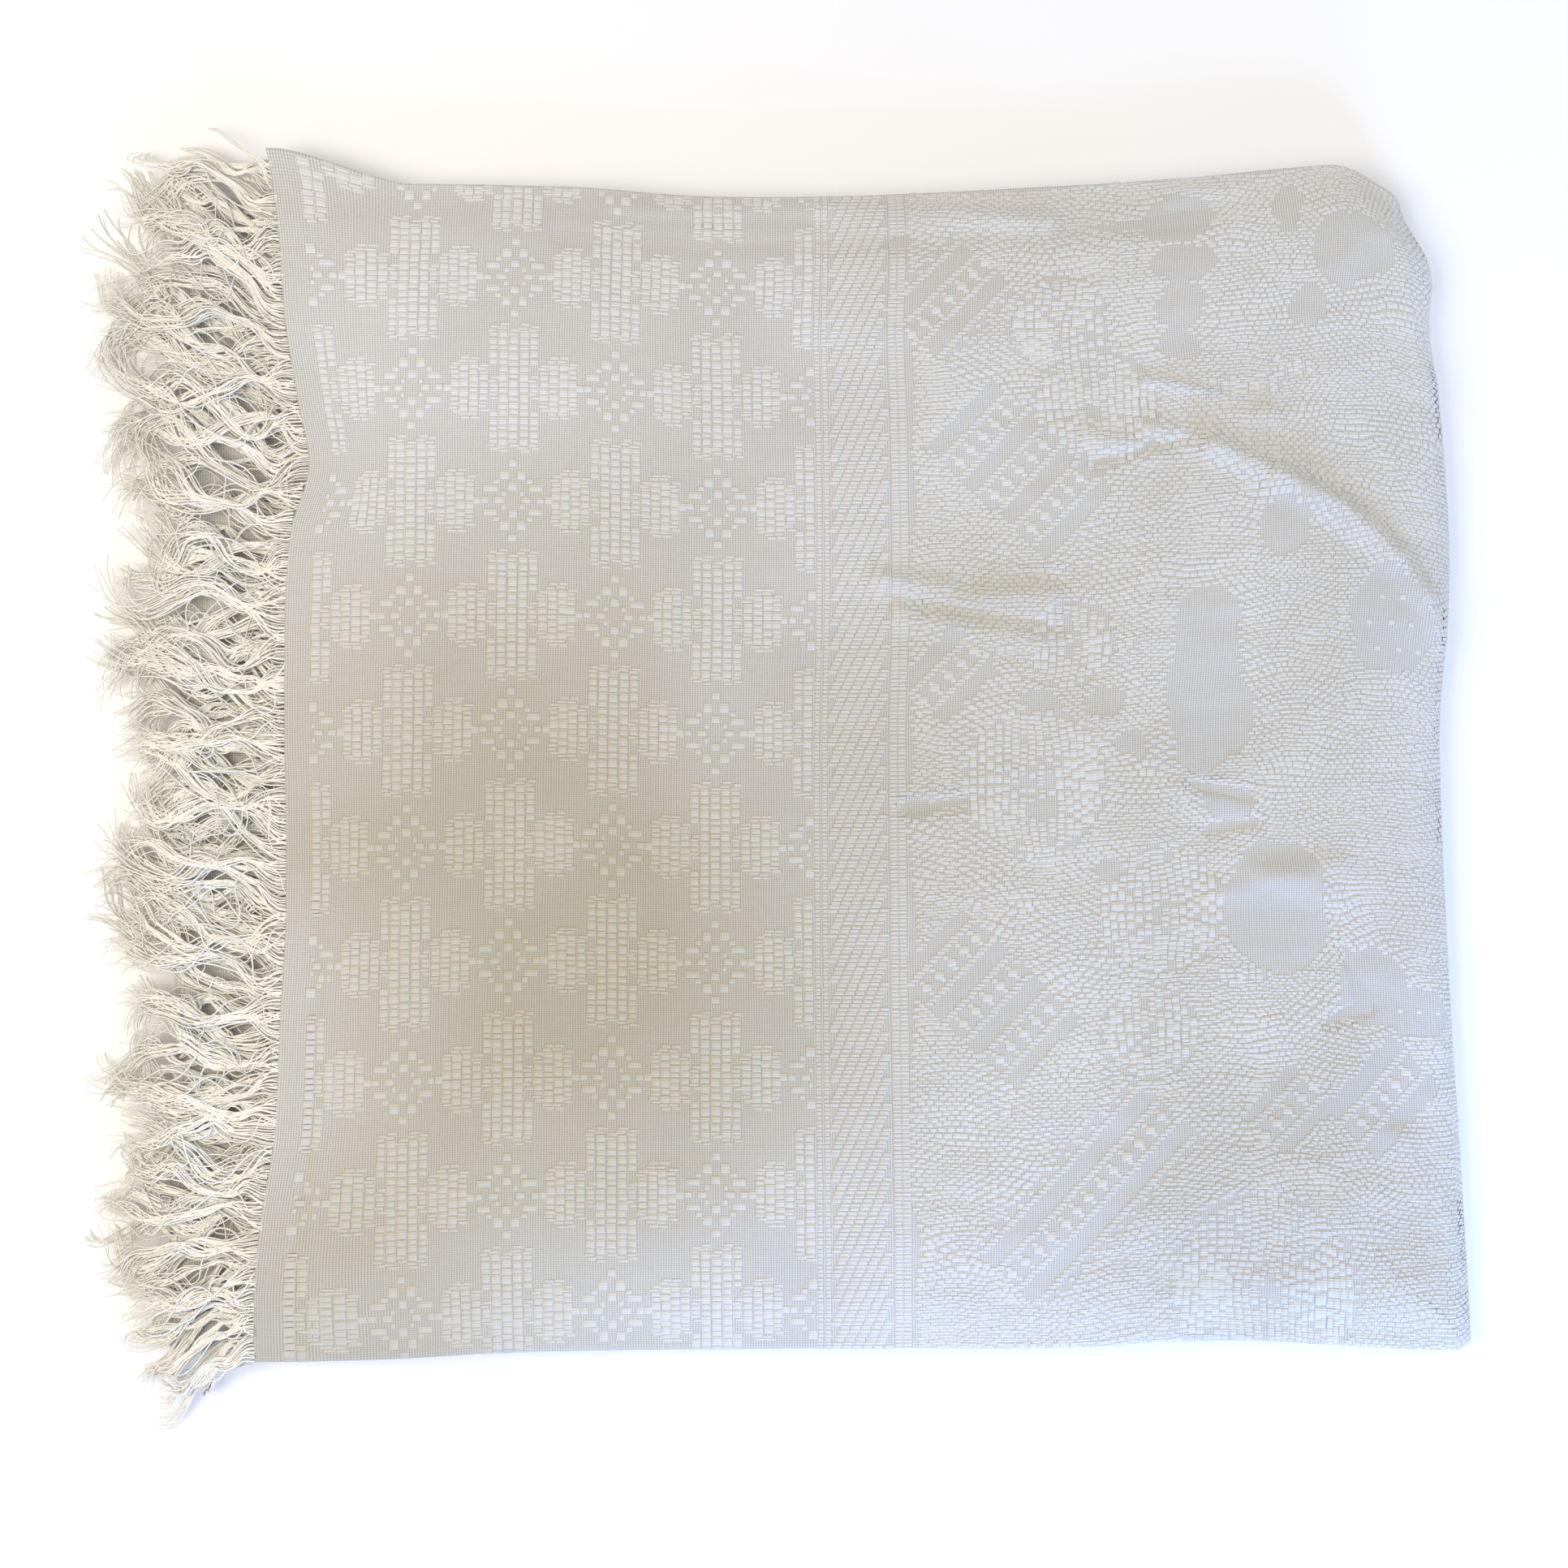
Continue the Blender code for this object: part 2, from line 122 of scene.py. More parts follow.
# Swells and hollows of the whole pile: middle x and y, radius, share of the height
SWELLS = ((260, 130, 90, 0.05), (300, 240, 80, 0.08), (90, 100, 70, -0.05), (200, -150, 110, 0.04),
          (-150, 120, 120, 0.03), (-110, -180, 110, -0.02), (250, -60, 70, -0.04), (40, 250, 90, 0.03))


def soft(t):
    """Rise smoothly from 0 to 1."""
    t = np.clip(t, 0.0, 1.0)
    return t * t * (3 - 2 * t)


def read_table(rows, at, column=1):
    """Values of a column at many places, on a smooth curve through the rows."""
    rows = np.array(rows, float)
    keys, values = rows[:, 0], rows[:, column]
    at = np.clip(at, keys[0], keys[-1])
    last = len(keys) - 1
    i = np.clip(np.searchsorted(keys, at, side="right") - 1, 0, last - 1)

    def slope(k):
        low, high = np.maximum(k - 1, 0), np.minimum(k + 1, last)
        return (values[high] - values[low]) / (keys[high] - keys[low])

    span = keys[i + 1] - keys[i]
    t = (at - keys[i]) / span
    blend = values[i] + (values[i + 1] - values[i]) * t * t * (3 - 2 * t)
    return blend + span * t * (1 - t) * (slope(i) * (1 - t) - slope(i + 1) * t)


def height_share(x, y):
    """Share of its plain height that the pile has at each place."""
    near_side = np.minimum(np.minimum(y - FRONT_END, BACK_END - y), RIGHT_END - x)
    share = 1 - SIDE_SINK * (1 - soft(near_side / SIDE_REACH))
    share = share - SHOULDER_SINK * (1 - soft(near_side / SHOULDER_REACH))
    share = share - LEFT_SINK * (1 - soft((x - LEFT_FOLD) / LEFT_REACH))
    for centre_x, centre_y, radius, rise in SWELLS:
        share = share + rise * 2.0 ** (-2 * ((x - centre_x) ** 2 + (y - centre_y) ** 2) / radius ** 2)
    return share


def lay(x, y, z, hem_share, drift):
    """Move points of the plain rectangular pile to where the real ones lie."""
    across = (y - FRONT_END) / (BACK_END - FRONT_END)
    along = np.maximum(0.0, (x - TOP_HEM) / (RIGHT_END - TOP_HEM))
    shift_x = (read_table(RIGHT_EDGE, y) - RIGHT_END) * along * along
    shift_y = (read_table(BACK_EDGE, x) - BACK_END) * across
    shift_y = shift_y + (read_table(FRONT_EDGE, x) - FRONT_END) * (1 - across)
    corner = soft(1 - (RIGHT_END - x) / CORNER_REACH) * soft(1 - (BACK_END - y) / CORNER_REACH)
    fade = hem_share * (1 - soft((x - TOP_HEM) / HEM_REACH))
    shift_x = shift_x + CORNER_PULL[0] * corner + fade * read_table(HEM_SHIFT, y, 1)
    shift_y = shift_y + CORNER_PULL[1] * corner + fade * read_table(HEM_SHIFT, y, 2)
    return np.stack((x + shift_x, y + shift_y + drift, z * height_share(x, y)), axis=-1)


# %% [markdown]
# ## The skin of the top layer
# The top layer is more than a flat face: creases stand up where hands pulled it, and a loose weave puckers
# everywhere. Tables of creases and wrinkles and a little smooth noise give its height. The function `skin`
# takes a place on the flat cloth, and how far a point stands off it, and gives the place in the folded pile,
# also round the rolled right end and over the front and back folds. The cloth and its raised threads both use
# this relief, so the threads follow each crease without any fitting.

# %% Creases, wrinkles and puckers
# Creases: start x and y, end x and y, half width, rise. Each leans over, so its front side is the wider one
CREASES = ((188, 179, 218, 168, 8, 2.6), (218, 167, 250, 150, 9, 6.0), (250, 150, 282, 130, 10, 8.4),
           (282, 130, 312, 106, 10, 8.0), (312, 106, 328, 88, 9, 6.4), (328, 88, 340, 70, 9, 4.2),
           (186, 202, 215, 194, 7, 3.4), (215, 194, 250, 180, 7, 2.8), (157, 175, 190, 165, 8, 2.4),
           (50, 108, 134, 94, 12, 3.4), (60, 88, 130, 72, 10, 2.6), (222, -62, 284, -50, 12, 2.2),
           (318, 278, 336, 196, 9, 1.8), (20, 305, 80, 301, 10, 2.4), (80, 301, 136, 293, 10, 3.0),
           (200, 303, 240, 306, 8, 1.8))
FRONT_SIDE = 1.3
# Wrinkles and hollows, which may lie on top of a crease, in the same columns
WRINKLES = ((188, 199, 240, 185, 6, -2.4), (160, 162, 206, 171, 6, -2.2), (47, 112, 100, 104, 8, -2.2),
            (90, 100, 139, 102, 8, -2.0), (68, 90, 138, 76, 8, -1.9), (63, -14, 90, -12, 7, -2.4),
            (210, -8, 238, -14, 6, -2.3), (218, -31, 242, -29, 6, -2.5), (227, -46, 279, -67, 12, 1.6),
            (285, -92, 295, -121, 6, -1.9), (294, -121, 274, -128, 6, -1.7), (-116, 284, 60, 286, 9, -1.3),
            (60, 284, 225, 290, 9, -1.2), (-90, 303, 20, 305, 9, 1.6), (-237, -60, -236, -292, 4, -0.8),
            (-229, -60, -228, -292, 5, 0.5), (20, 240, 120, 226, 14, 0.9), (130, -240, 190, -180, 12, 0.8),
            (190, -244, 300, -238, 26, -1.2), (100, -196, 128, -232, 16, 0.8), (-180, 30, -120, 60, 16, -0.6),
            (-60, -200, 10, -220, 16, 0.7), (300, -180, 338, -230, 14, 1.0))
# Puckers of the loose weave: rise, how much narrower they are along y, size, seed. The motif has more of them
PUCKERS = ((0.5, 1.0, 34.0, 3), (0.18, 1.8, 12.0, 4))
MOTIF_PUCKERS = ((0.5, 2.2, 26.0, 5), (0.22, 2.5, 15.0, 6))
MOTIF_PUCKERS_FROM, MOTIF_PUCKERS_REACH = 20.0, 100.0

# Grids of random heights, one for each seed, that reach far enough past the cloth on every side
GRID_COUNT = 400
GRID_MARGIN = 800.0
HILLS = {seed: np.random.default_rng(seed).uniform(-1, 1, (GRID_COUNT, GRID_COUNT)) for seed in range(3, 10)}


def soft_noise(x, y, size, seed):
    """Smooth noise from -1 to 1, with hills about as wide as size."""
    grid = HILLS[seed]
    i, j = (np.floor((c + GRID_MARGIN) / size).astype(int) % (GRID_COUNT - 2) for c in (x, y))
    s, t = (soft((c + GRID_MARGIN) / size - np.floor((c + GRID_MARGIN) / size)) for c in (x, y))
    low = grid[i, j] * (1 - s) + grid[i + 1, j] * s
    high = grid[i, j + 1] * (1 - s) + grid[i + 1, j + 1] * s
    return low * (1 - t) + high * t


def ridge(x, y, row, front_side=1.0):
    """Rise of one crease or wrinkle, round in section and running out at its ends."""
    x0, y0, x1, y1, half_width, height = row
    length = np.hypot(x1 - x0, y1 - y0)
    along = ((x - x0) * (x1 - x0) + (y - y0) * (y1 - y0)) / length
    beside = ((x - x0) * (y1 - y0) - (y - y0) * (x1 - x0)) / length
    over = np.maximum(np.maximum(-along, along - length), 0.0)
    beside = np.where(beside > 0, beside / front_side, beside)
    return height * (1 - soft(np.hypot(over, beside) / half_width))


def tightness(x, y):
    """Height of the crease at each place, which is also where the cloth is pulled tight."""
    return np.max([ridge(x, y, row, FRONT_SIDE) for row in CREASES], axis=0)


def pucker(x, y, rows):
    """Height of one table of puckers."""
    return sum(rise * soft_noise(x, narrower * y, size, seed) for rise, narrower, size, seed in rows)


def relief(x, y):
    """Height that the creases, wrinkles and puckers add to the top layer."""
    rise = tightness(x, y)
    for row in WRINKLES:
        rise = rise + ridge(x, y, row)
    more = soft((x - MOTIF_PUCKERS_FROM) / MOTIF_PUCKERS_REACH) * pucker(x, y, MOTIF_PUCKERS)
    return rise + pucker(x, y, PUCKERS) + more



def skin(u, v, lift):
    """Places in the pile of points that lie at (u, v) on the flat top layer and stand off it by lift."""
    front = np.maximum(FRONT_BEND_Y - v, 0.0) / SECTION_HALF
    back = np.maximum(v - BACK_BEND_Y, 0.0) / BACK_RADIUS
    turn = np.maximum(u - BEND_X, 0.0) / (OUTER_BEND + SECTION_HALF)
    outer, rear = SECTION_HALF + lift, BACK_RADIUS + lift
    y = np.clip(v, FRONT_BEND_Y, BACK_BEND_Y) - outer * np.sin(front) + rear * np.sin(back)
    height = outer * np.cos(front) - rear * (1 - np.cos(back))
    x = np.minimum(u, BEND_X) + (OUTER_BEND + height) * np.sin(turn)
    z = SPINE_Z + (OUTER_BEND + height) * np.cos(turn)
    laid = lay(x, y, z, 1.0, PASS_DRIFT["fourth"] * turn / pi)
    facing_up = np.clip(np.cos(front) * np.cos(back) * np.cos(turn), 0.0, 1.0)
    laid[..., 2] += relief(x, y) * facing_up
    return laid


# %% [markdown]
# ## Yellowed and shaded places
# The cloth is tinted a little yellow all over. A table of soft spots tints it further towards tan, partly as
# yellowing with the years and partly as painted shade over broad patches of the pile, and two spots are
# painted lighter. Each point of the cloth gets its share, and the materials read that share, so no picture is
# needed.

# %% Share of yellow and painted shade
# Spots: middle x and y, radius, share. The last two are painted lighter than the rest
YELLOW_AND_SHADE_SPOTS = ((-100, -130, 90, 0.85), (-110, 60, 90, 0.35), (-215, 0, 85, 0.50), (-225, -270, 80, 0.62),
            (10, -40, 90, 0.35), (200, 0, 120, 0.15), (250, -225, 60, 0.45), (88, 90, 35, 0.30),
            (-210, 290, 90, -0.10), (290, 290, 90, -0.10))
EVEN_YELLOW = 0.10
MOTTLE, MOTTLE_SIZE, MOTTLE_SEED = 0.12, 45.0, 8


def yellowing_and_shade(x, y):
    """Share from 0 to 1 by which the cloth is tinted at each place, by yellowing and by painted shade."""
    total = np.zeros_like(x) + EVEN_YELLOW
    for middle_x, middle_y, radius, share in YELLOW_AND_SHADE_SPOTS:
        total = total + share * 2.0 ** (-((x - middle_x) ** 2 + (y - middle_y) ** 2) / radius ** 2)
    return np.clip(total + MOTTLE * soft_noise(x, y, MOTTLE_SIZE, MOTTLE_SEED), 0.0, 1.0)


# %% [markdown]
# ## Helpers for meshes and materials
# A mesh with very many small parts is quickest when numpy makes all its points and faces, and Blender only
# receives them. Colours are written as the eye knows them, in sRGB hex, and turned to linear light once.

# %% Mesh and material helpers
def triangles(mesh):
    """Number of triangles of a mesh."""
    return sum(len(polygon.vertices) - 2 for polygon in mesh.polygons)


def add_piece(name, points, faces, material):
    """An object from points in fold millimetres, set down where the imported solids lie."""
    mesh = bpy.data.meshes.new(name)
    mesh.from_pydata(((points + CENTRE_SHIFT) * MM).tolist(), [], faces.tolist())
    mesh.materials.append(material)
    mesh.shade_smooth()
    piece = bpy.data.objects.new(name, mesh)
    bpy.context.collection.objects.link(piece)
    print(name, len(mesh.vertices), "points", triangles(mesh), "triangles")
    return piece


def add_values(mesh, name, values):
    """A number or a place for each point, for the material to read."""
    values = np.asarray(values, float)
    kind, key = ("FLOAT", "value") if values.ndim == 1 else ("FLOAT_VECTOR", "vector")
    mesh.attributes.new(name, kind, "POINT").data.foreach_set(key, values.ravel())


def linear(code):
    """Linear light values of an sRGB hex colour."""
    parts = [int(code[i:i + 2], 16) / 255 for i in (0, 2, 4)]
    return [c / 12.92 if c <= 0.04045 else ((c + 0.055) / 1.055) ** 2.4 for c in parts] + [1.0]


def add_node(tree, kind, settings=(), links=()):
    """Add a node to a tree, set its options and sockets by name, and feed its sockets."""
    node = tree.nodes.new(kind)
    for name, value in dict(settings).items():
        if isinstance(name, str) and hasattr(node, name):
            setattr(node, name, value)
        else:
            node.inputs[name].default_value = value
    for name, source in dict(links).items():
        tree.links.new(source, node.inputs[name])
    return node


def start_material(name, values):
    """A material with even values set on its shader, its node tree, and the shader itself."""
    material = bpy.data.materials.new(name)
    material.use_nodes = True
    shader = material.node_tree.nodes["Principled BSDF"]
    for socket, value in values.items():
        shader.inputs[socket].default_value = value
    return material, material.node_tree, shader


# %% [markdown]
# ## Woven cotton
# Cotton is a matt, slightly fuzzy fibre: a high roughness, a normal IOR of 1.5, and a soft sheen of loose
# fibre ends. The ground is a plain weave with a rib about every 0.95 mm. That is close to the size of a
# pixel, so the ribs are drawn coarser, at 1.3 mm, and the threads across them at 1.1 mm. The grooves between
# them are painted darker, as painted shade, and a fuzz makes the yarn lighter or darker at random. The
# floats are of thicker, softer yarn, and their sunk edges, where they dive under at the ties, are painted
# dark as painted shade.

# %% Material of the ground cloth and the floats
# How far the ribs wander along each axis, and over what length, in millimetres
WANDER = (1.2, 0.4, 0)
WANDER_LENGTH = 30
# Grain of the fuzz, and how much lighter or darker it makes the yarn
FUZZ_SCALE, FUZZ_DEPTH, FUZZ_MEAN = 0.9, 0.5, -0.2
# Heights on a float between which the painted shade at its tie fades out
TIE_SHADE_LOW, TIE_SHADE_HIGH = -0.06, 0.13
# Tan of yellowed cotton, which is also the colour of the painted shade in the darker spots
YELLOW_AND_SHADE_TINT = "dcd3bb"
RIB_BUMP = 0.35 * MM
COTTON = {"Roughness": 0.88, "Sheen Weight": 0.15, "Sheen Roughness": 0.6}


def woven_cotton(name, light, dark, pitches, depths, painted_tie_shade=None):
    """Woven cotton, drawn from the place on the flat cloth that each point carries."""
    material, tree, shader = start_material(name, COTTON)
    place = add_node(tree, "ShaderNodeAttribute", {"attribute_name": "flat_place"})
    sway = add_node(tree, "ShaderNodeTexNoise", {"Scale": 1 / WANDER_LENGTH, "Detail": 1.0},
                    {"Vector": place.outputs["Vector"]})
    moved = add_node(tree, "ShaderNodeVectorMath", {"operation": "MULTIPLY_ADD", 1: WANDER},
                     {0: sway.outputs["Color"], 2: place.outputs["Vector"]})
    parts = add_node(tree, "ShaderNodeSeparateXYZ", (), {0: moved.outputs[0]})
    waves = []
    for axis, pitch, depth in zip("XY", pitches, depths):
        phase = add_node(tree, "ShaderNodeMath", {"operation": "MULTIPLY", 1: 2 * pi / pitch},
                         {0: parts.outputs[axis]})
        wave = add_node(tree, "ShaderNodeMath", {"operation": "SINE"}, {0: phase.outputs[0]})
        share = {"operation": "MULTIPLY_ADD", 1: depth / 2, 2: depth / 2}
        waves.append(add_node(tree, "ShaderNodeMath", share, {0: wave.outputs[0]}))
    weave = add_node(tree, "ShaderNodeMath", {"operation": "ADD"},
                     {0: waves[0].outputs[0], 1: waves[1].outputs[0]})
    fuzz = add_node(tree, "ShaderNodeTexNoise", {"Scale": FUZZ_SCALE, "Detail": 4.0, "Roughness": 0.7},
                    {"Vector": place.outputs["Vector"]})
    fluff = add_node(tree, "ShaderNodeMath", {"operation": "MULTIPLY_ADD", 1: FUZZ_DEPTH, 2: FUZZ_MEAN},
                     {0: fuzz.outputs[0]})
    # Painted shade: the yarn is darker in the grooves of the weave, and the fuzz adds random tone
    groove_shade_and_fuzz = add_node(tree, "ShaderNodeMath", {"operation": "ADD", "use_clamp": True},
                     {0: weave.outputs[0], 1: fluff.outputs[0]})
    yarn = add_node(tree, "ShaderNodeMix", {"data_type": "RGBA", 6: linear(dark), 7: linear(light)},
                    {"Factor": groove_shade_and_fuzz.outputs[0]})
    # Painted shade: the sunk edges of a float, where it dives under at its tie, are painted dark
    if painted_tie_shade:
        tie_shade_share = add_node(tree, "ShaderNodeMapRange",
                        {"From Min": TIE_SHADE_LOW, "From Max": TIE_SHADE_HIGH, "To Min": 1.0, "To Max": 0.0},
                        {"Value": parts.outputs["Z"]})
        yarn = add_node(tree, "ShaderNodeMix", {"data_type": "RGBA", 7: linear(painted_tie_shade)},
                        {"Factor": tie_shade_share.outputs[0], 6: yarn.outputs[2]})
    # Yellowing and painted shade multiply the yarn towards tan, and two spots are painted lighter
    age_and_shade = add_node(tree, "ShaderNodeAttribute", {"attribute_name": "age_and_shade"})
    aged_and_shaded = add_node(tree, "ShaderNodeMix", {"data_type": "RGBA", "blend_type": "MULTIPLY", 7: linear(YELLOW_AND_SHADE_TINT)},
                    {"Factor": age_and_shade.outputs["Fac"], 6: yarn.outputs[2]})
    bump = add_node(tree, "ShaderNodeBump", {"Strength": 0.5, "Distance": RIB_BUMP},
                    {"Height": weave.outputs[0]})
    tree.links.new(aged_and_shaded.outputs[2], shader.inputs["Base Color"])
    tree.links.new(bump.outputs[0], shader.inputs["Normal"])
    return material


# Light yarn, dark yarn that is painted shade in the grooves, pitches of the ribs and the threads across them,
# depths of both, and the painted shade at the ties
ground_cotton = woven_cotton("plain_woven_cotton", "dad9d6", "a5a49f", (1.3, 1.1), (0.62, 0.38))
float_cotton = woven_cotton("floated_cotton_yarn", "dcdcda", "d0cfca", (3.0, 1.3), (0.1, 0.9), "69665e")

# %% [markdown]
# ## The folded cloth
# The sheet is made the way it was folded: one closed section of four layers is swept along the passes. The
# top layer gets points every 6 mm and the hidden ones far fewer. Then Blender cuts only the visible skin
# finer, finest at the creases. Each point keeps its place on the flat cloth, so the weave runs through every
# fold without a seam, as it does in the real one.

# %% Midline of the section and path of the sweep
TOP_CUTS = 94
HIDDEN_CUTS = 12


def section_midline():
    """Points across the four layers, as y, height, the way they face and top skin or not, and flat places."""
    rows = []
    flat = [0.0]

    def add(y, level, out_y, out_h, top):
        if rows:
            flat.append(flat[-1] + np.hypot(y - rows[-1][0], level - rows[-1][1]))
        rows.append((y, level, out_y, out_h, top))

    def layer(level, way, cuts, top):
        ends = (FRONT_BEND_Y, BACK_BEND_Y)[::way]
        for k in range(cuts + 1):
            add(ends[0] + (ends[1] - ends[0]) * k / cuts, level, 0.0, float(way), top)

    def bend(centre_y, centre_h, radius, start, turn, steps, top):
        side = -1 if turn > 0 else 1
        for k in range(1, steps):
            angle = radians(start + turn * k / steps)
            add(centre_y + radius * cos(angle), centre_h + radius * sin(angle),
                side * cos(angle), side * sin(angle), top)

    half = LAYER_PITCH / 2
    layer(-half, -1, HIDDEN_CUTS, 0)
    bend(FRONT_BEND_Y, 0.0, half, 270, -180, 4, 0)
    layer(half, 1, HIDDEN_CUTS, 0)
    bend(BACK_BEND_Y, LAYER_PITCH, half, -90, 180, 6, 1)
    layer(3 * half, -1, TOP_CUTS, 1)
    bend(FRONT_BEND_Y, 0.0, 3 * half, 90, 180, 8, 1)
    layer(-3 * half, 1, HIDDEN_CUTS, 0)
    return np.array(rows), np.array(flat)


def sweep_path():
    """Stations along the passes: x, z, the way the section faces, hem share, drift, first pass or not."""
    def run(name, left, level, facing, hem, cuts, backwards):
        ends = (BEND_X, left) if backwards else (left, BEND_X)
        return [(ends[0] + (ends[1] - ends[0]) * k / cuts, level, 0.0, facing, hem, PASS_DRIFT[name],
                 float(name == "first")) for k in range(cuts + 1)]

    def turn(before, after, centre, radius, start, angle, steps, first):
        rows = []
        facing = -1 if angle > 0 else 1
        for k in range(1, steps):
            a = radians(start + angle * k / steps)
            hem, drift = (before[i] + (after[i] - before[i]) * k / steps for i in (4, 5))
            rows.append((centre[0] + radius * cos(a), centre[1] + radius * sin(a), facing * cos(a),
                         facing * sin(a), hem, drift, first))
        return rows

    first = run("first", TOP_HEM, LEVELS[3], 1.0, 1.0, TOP_CUTS, False)
    fourth = run("fourth", LEFT_BEND_X, LEVELS[0], -1.0, 0.0, HIDDEN_CUTS, True)
    third = run("third", LEFT_BEND_X, LEVELS[1], 1.0, 0.0, HIDDEN_CUTS, False)
    second = run("second", SECOND_HEM, LEVELS[2], -1.0, 0.9, HIDDEN_CUTS, True)
    spine, fold = (BEND_X, SPINE_Z), (LEFT_BEND_X, (LEVELS[0] + LEVELS[1]) / 2)
    path = first + turn(first[-1], fourth[0], spine, OUTER_BEND, 90, -180, 18, 1.0)
    path += fourth + turn(fourth[-1], third[0], fold, INNER_BEND, 270, -180, 8, 0.0)
    path += third + turn(third[-1], second[0], spine, INNER_BEND, -90, 180, 8, 0.0)
    return np.array(path + second)


midline, flat_v = section_midline()
path = sweep_path()
flat_u = np.concatenate(([0.0], np.cumsum(np.hypot(np.diff(path[:, 0]), np.diff(path[:, 1])))))
print("cloth", round(flat_u[-1] / 1000, 3), "m by", round(flat_v[-1] / 1000, 3), "m when laid out")

# %% Sheet the section along the path
def build_sheet():
    """Plain places, flat places and faces of the whole closed sheet."""
    count = len(midline)
    order = np.concatenate((np.arange(count), np.arange(count)[::-1]))
    side = np.concatenate((np.ones(count), -np.ones(count))) * CLOTH_THICK / 2
    y, level, out_y, out_h, top = midline[order].T
    height = level + side * out_h
    x = path[:, None, 0] + height * path[:, None, 2]
    z = path[:, None, 1] + height * path[:, None, 3]
    across = np.broadcast_to(y + side * out_y, x.shape)
    places = np.stack((x, across, z), axis=-1)
    flats = np.stack(np.broadcast_arrays(flat_u[:, None], flat_v[order], side), axis=-1)
    extra = np.stack(np.broadcast_arrays(path[:, None, 4], path[:, None, 5],
                                         path[:, None, 6] * top * (side < 0)), axis=-1)
    ring = 2 * count
    i, j = np.meshgrid(np.arange(len(path) - 1), np.arange(ring), indexing="ij")
    k = (j + 1) % ring
    walls = np.stack((i * ring + j, (i + 1) * ring + j, (i + 1) * ring + k, i * ring + k), axis=-1)
    j = np.arange(count - 1)
    ends = [np.stack((s + j, s + j + 1, s + ring - 2 - j, s + ring - 1 - j), axis=-1)
            for s in (0, (len(path) - 1) * ring)]
    faces = np.concatenate([walls.reshape(-1, 4)] + ends)
    return [a.reshape(-1, 3) for a in (places, flats, extra)] + [faces]


def cut_finer(mesh, wanted):
    """Halve the edges of the faces that are wanted, leaving the rest as they are."""
    bm = bmesh.new()
    bm.from_mesh(mesh)
    bm.faces.ensure_lookup_table()
    edges = {edge for i in np.flatnonzero(wanted) for edge in bm.faces[i].edges}
    bmesh.ops.subdivide_edges(bm, edges=list(edges), cuts=1, use_grid_fill=True)
    bm.to_mesh(mesh)
    bm.free()


def face_middles(mesh):
    """Middles of the faces in fold millimetres, and whether they lie on the top skin."""
    middles = np.empty(len(mesh.polygons) * 3, np.float32)
    mesh.polygons.foreach_get("center", middles)
    corner = np.array([polygon.vertices[0] for polygon in mesh.polygons])
    opposite = np.array([polygon.vertices[2] for polygon in mesh.polygons])
    on_skin = read_values(mesh, "extra")[:, 2] > 0.5
    return middles.reshape(-1, 3).T / MM - CENTRE_SHIFT[:, None], on_skin[corner] & on_skin[opposite]


def read_values(mesh, name, kind="vector"):
    """Values of a point layer, as an array."""
    size = 3 if kind == "vector" else 1
    values = np.empty(len(mesh.vertices) * size, np.float32)
    mesh.attributes[name].data.foreach_get(kind, values)
    return values.reshape(-1, size).astype(float)


places, flats, extra, faces = build_sheet()
sheet = add_piece("folded_cloth", places, faces, ground_cotton)
add_values(sheet.data, "flat_place", flats)
add_values(sheet.data, "extra", extra)
cut_finer(sheet.data, face_middles(sheet.data)[1])

# Faces are halved once more where a crease or wrinkle rises by more than this share of its half width
STEEP = 0.06
middles, on_top = face_middles(sheet.data)
rises = [np.abs(ridge(middles[0], middles[1], row, FRONT_SIDE)) / row[4] for row in CREASES + WRINKLES]
cut_finer(sheet.data, on_top & (np.max(rises, axis=0) > STEEP))

# %% [markdown]
# ## Laying the cloth
# Now every point moves to where it lies in the real pile, and the top skin rises into its creases. The relief
# fades where the cloth turns over an edge, so the rolled ends stay smooth.

# %% Lay the sheet
plain = np.empty(len(sheet.data.vertices) * 3, np.float32)
sheet.data.vertices.foreach_get("co", plain)
plain = plain.reshape(-1, 3).astype(float) / MM - CENTRE_SHIFT
hem, drift, on_skin = read_values(sheet.data, "extra").T
laid = lay(plain[:, 0], plain[:, 1], plain[:, 2], hem, drift)
turn = np.arctan2(plain[:, 0] - BEND_X, plain[:, 2] - SPINE_Z) * (plain[:, 0] > BEND_X)
over_front = np.maximum(FRONT_BEND_Y - plain[:, 1], 0.0) / SECTION_HALF
over_back = np.maximum(plain[:, 1] - BACK_BEND_Y, 0.0) / BACK_RADIUS
facing_up = np.cos(turn) * np.sqrt(np.clip(1 - over_front ** 2, 0, 1))
facing_up = facing_up * np.sqrt(np.clip(1 - over_back ** 2, 0, 1))
upper_half = plain[:, 2] > LEVELS[3]
laid[:, 2] += relief(plain[:, 0], plain[:, 1]) * np.clip(facing_up, 0, 1) * (on_skin > 0.5) * upper_half
sheet.data.vertices.foreach_set("co", ((laid + CENTRE_SHIFT) * MM).ravel())
# Share of yellowing and painted shade at each point of the cloth
add_values(sheet.data, "age_and_shade", yellowing_and_shade(plain[:, 0], plain[:, 1]))
sheet.data.update()
sheet.data.set_sharp_from_angle(angle=radians(50))
print("cloth, laid and cut finer,", triangles(sheet.data), "triangles")

# %% [markdown]
# ## The raised threads
# The pattern is not printed. On the loom, thick soft threads float over several ribs of the ground and then
# dive under, so each float is a tiny pillow, with painted shade where it dives under at its ends. One small
# mesh of eight points is repeated for every float, which gives real relief that catches the light.

# %% Pillow for one float
FLOAT_RISE = 0.22
SUNK = -0.12
# Gap to the next float, and width of the edge that dives under, both along u and along v
GAP = np.array((0.20, 0.13))
SLOPE = np.array((0.30, 0.26))
MOST_SLOPE = 0.6
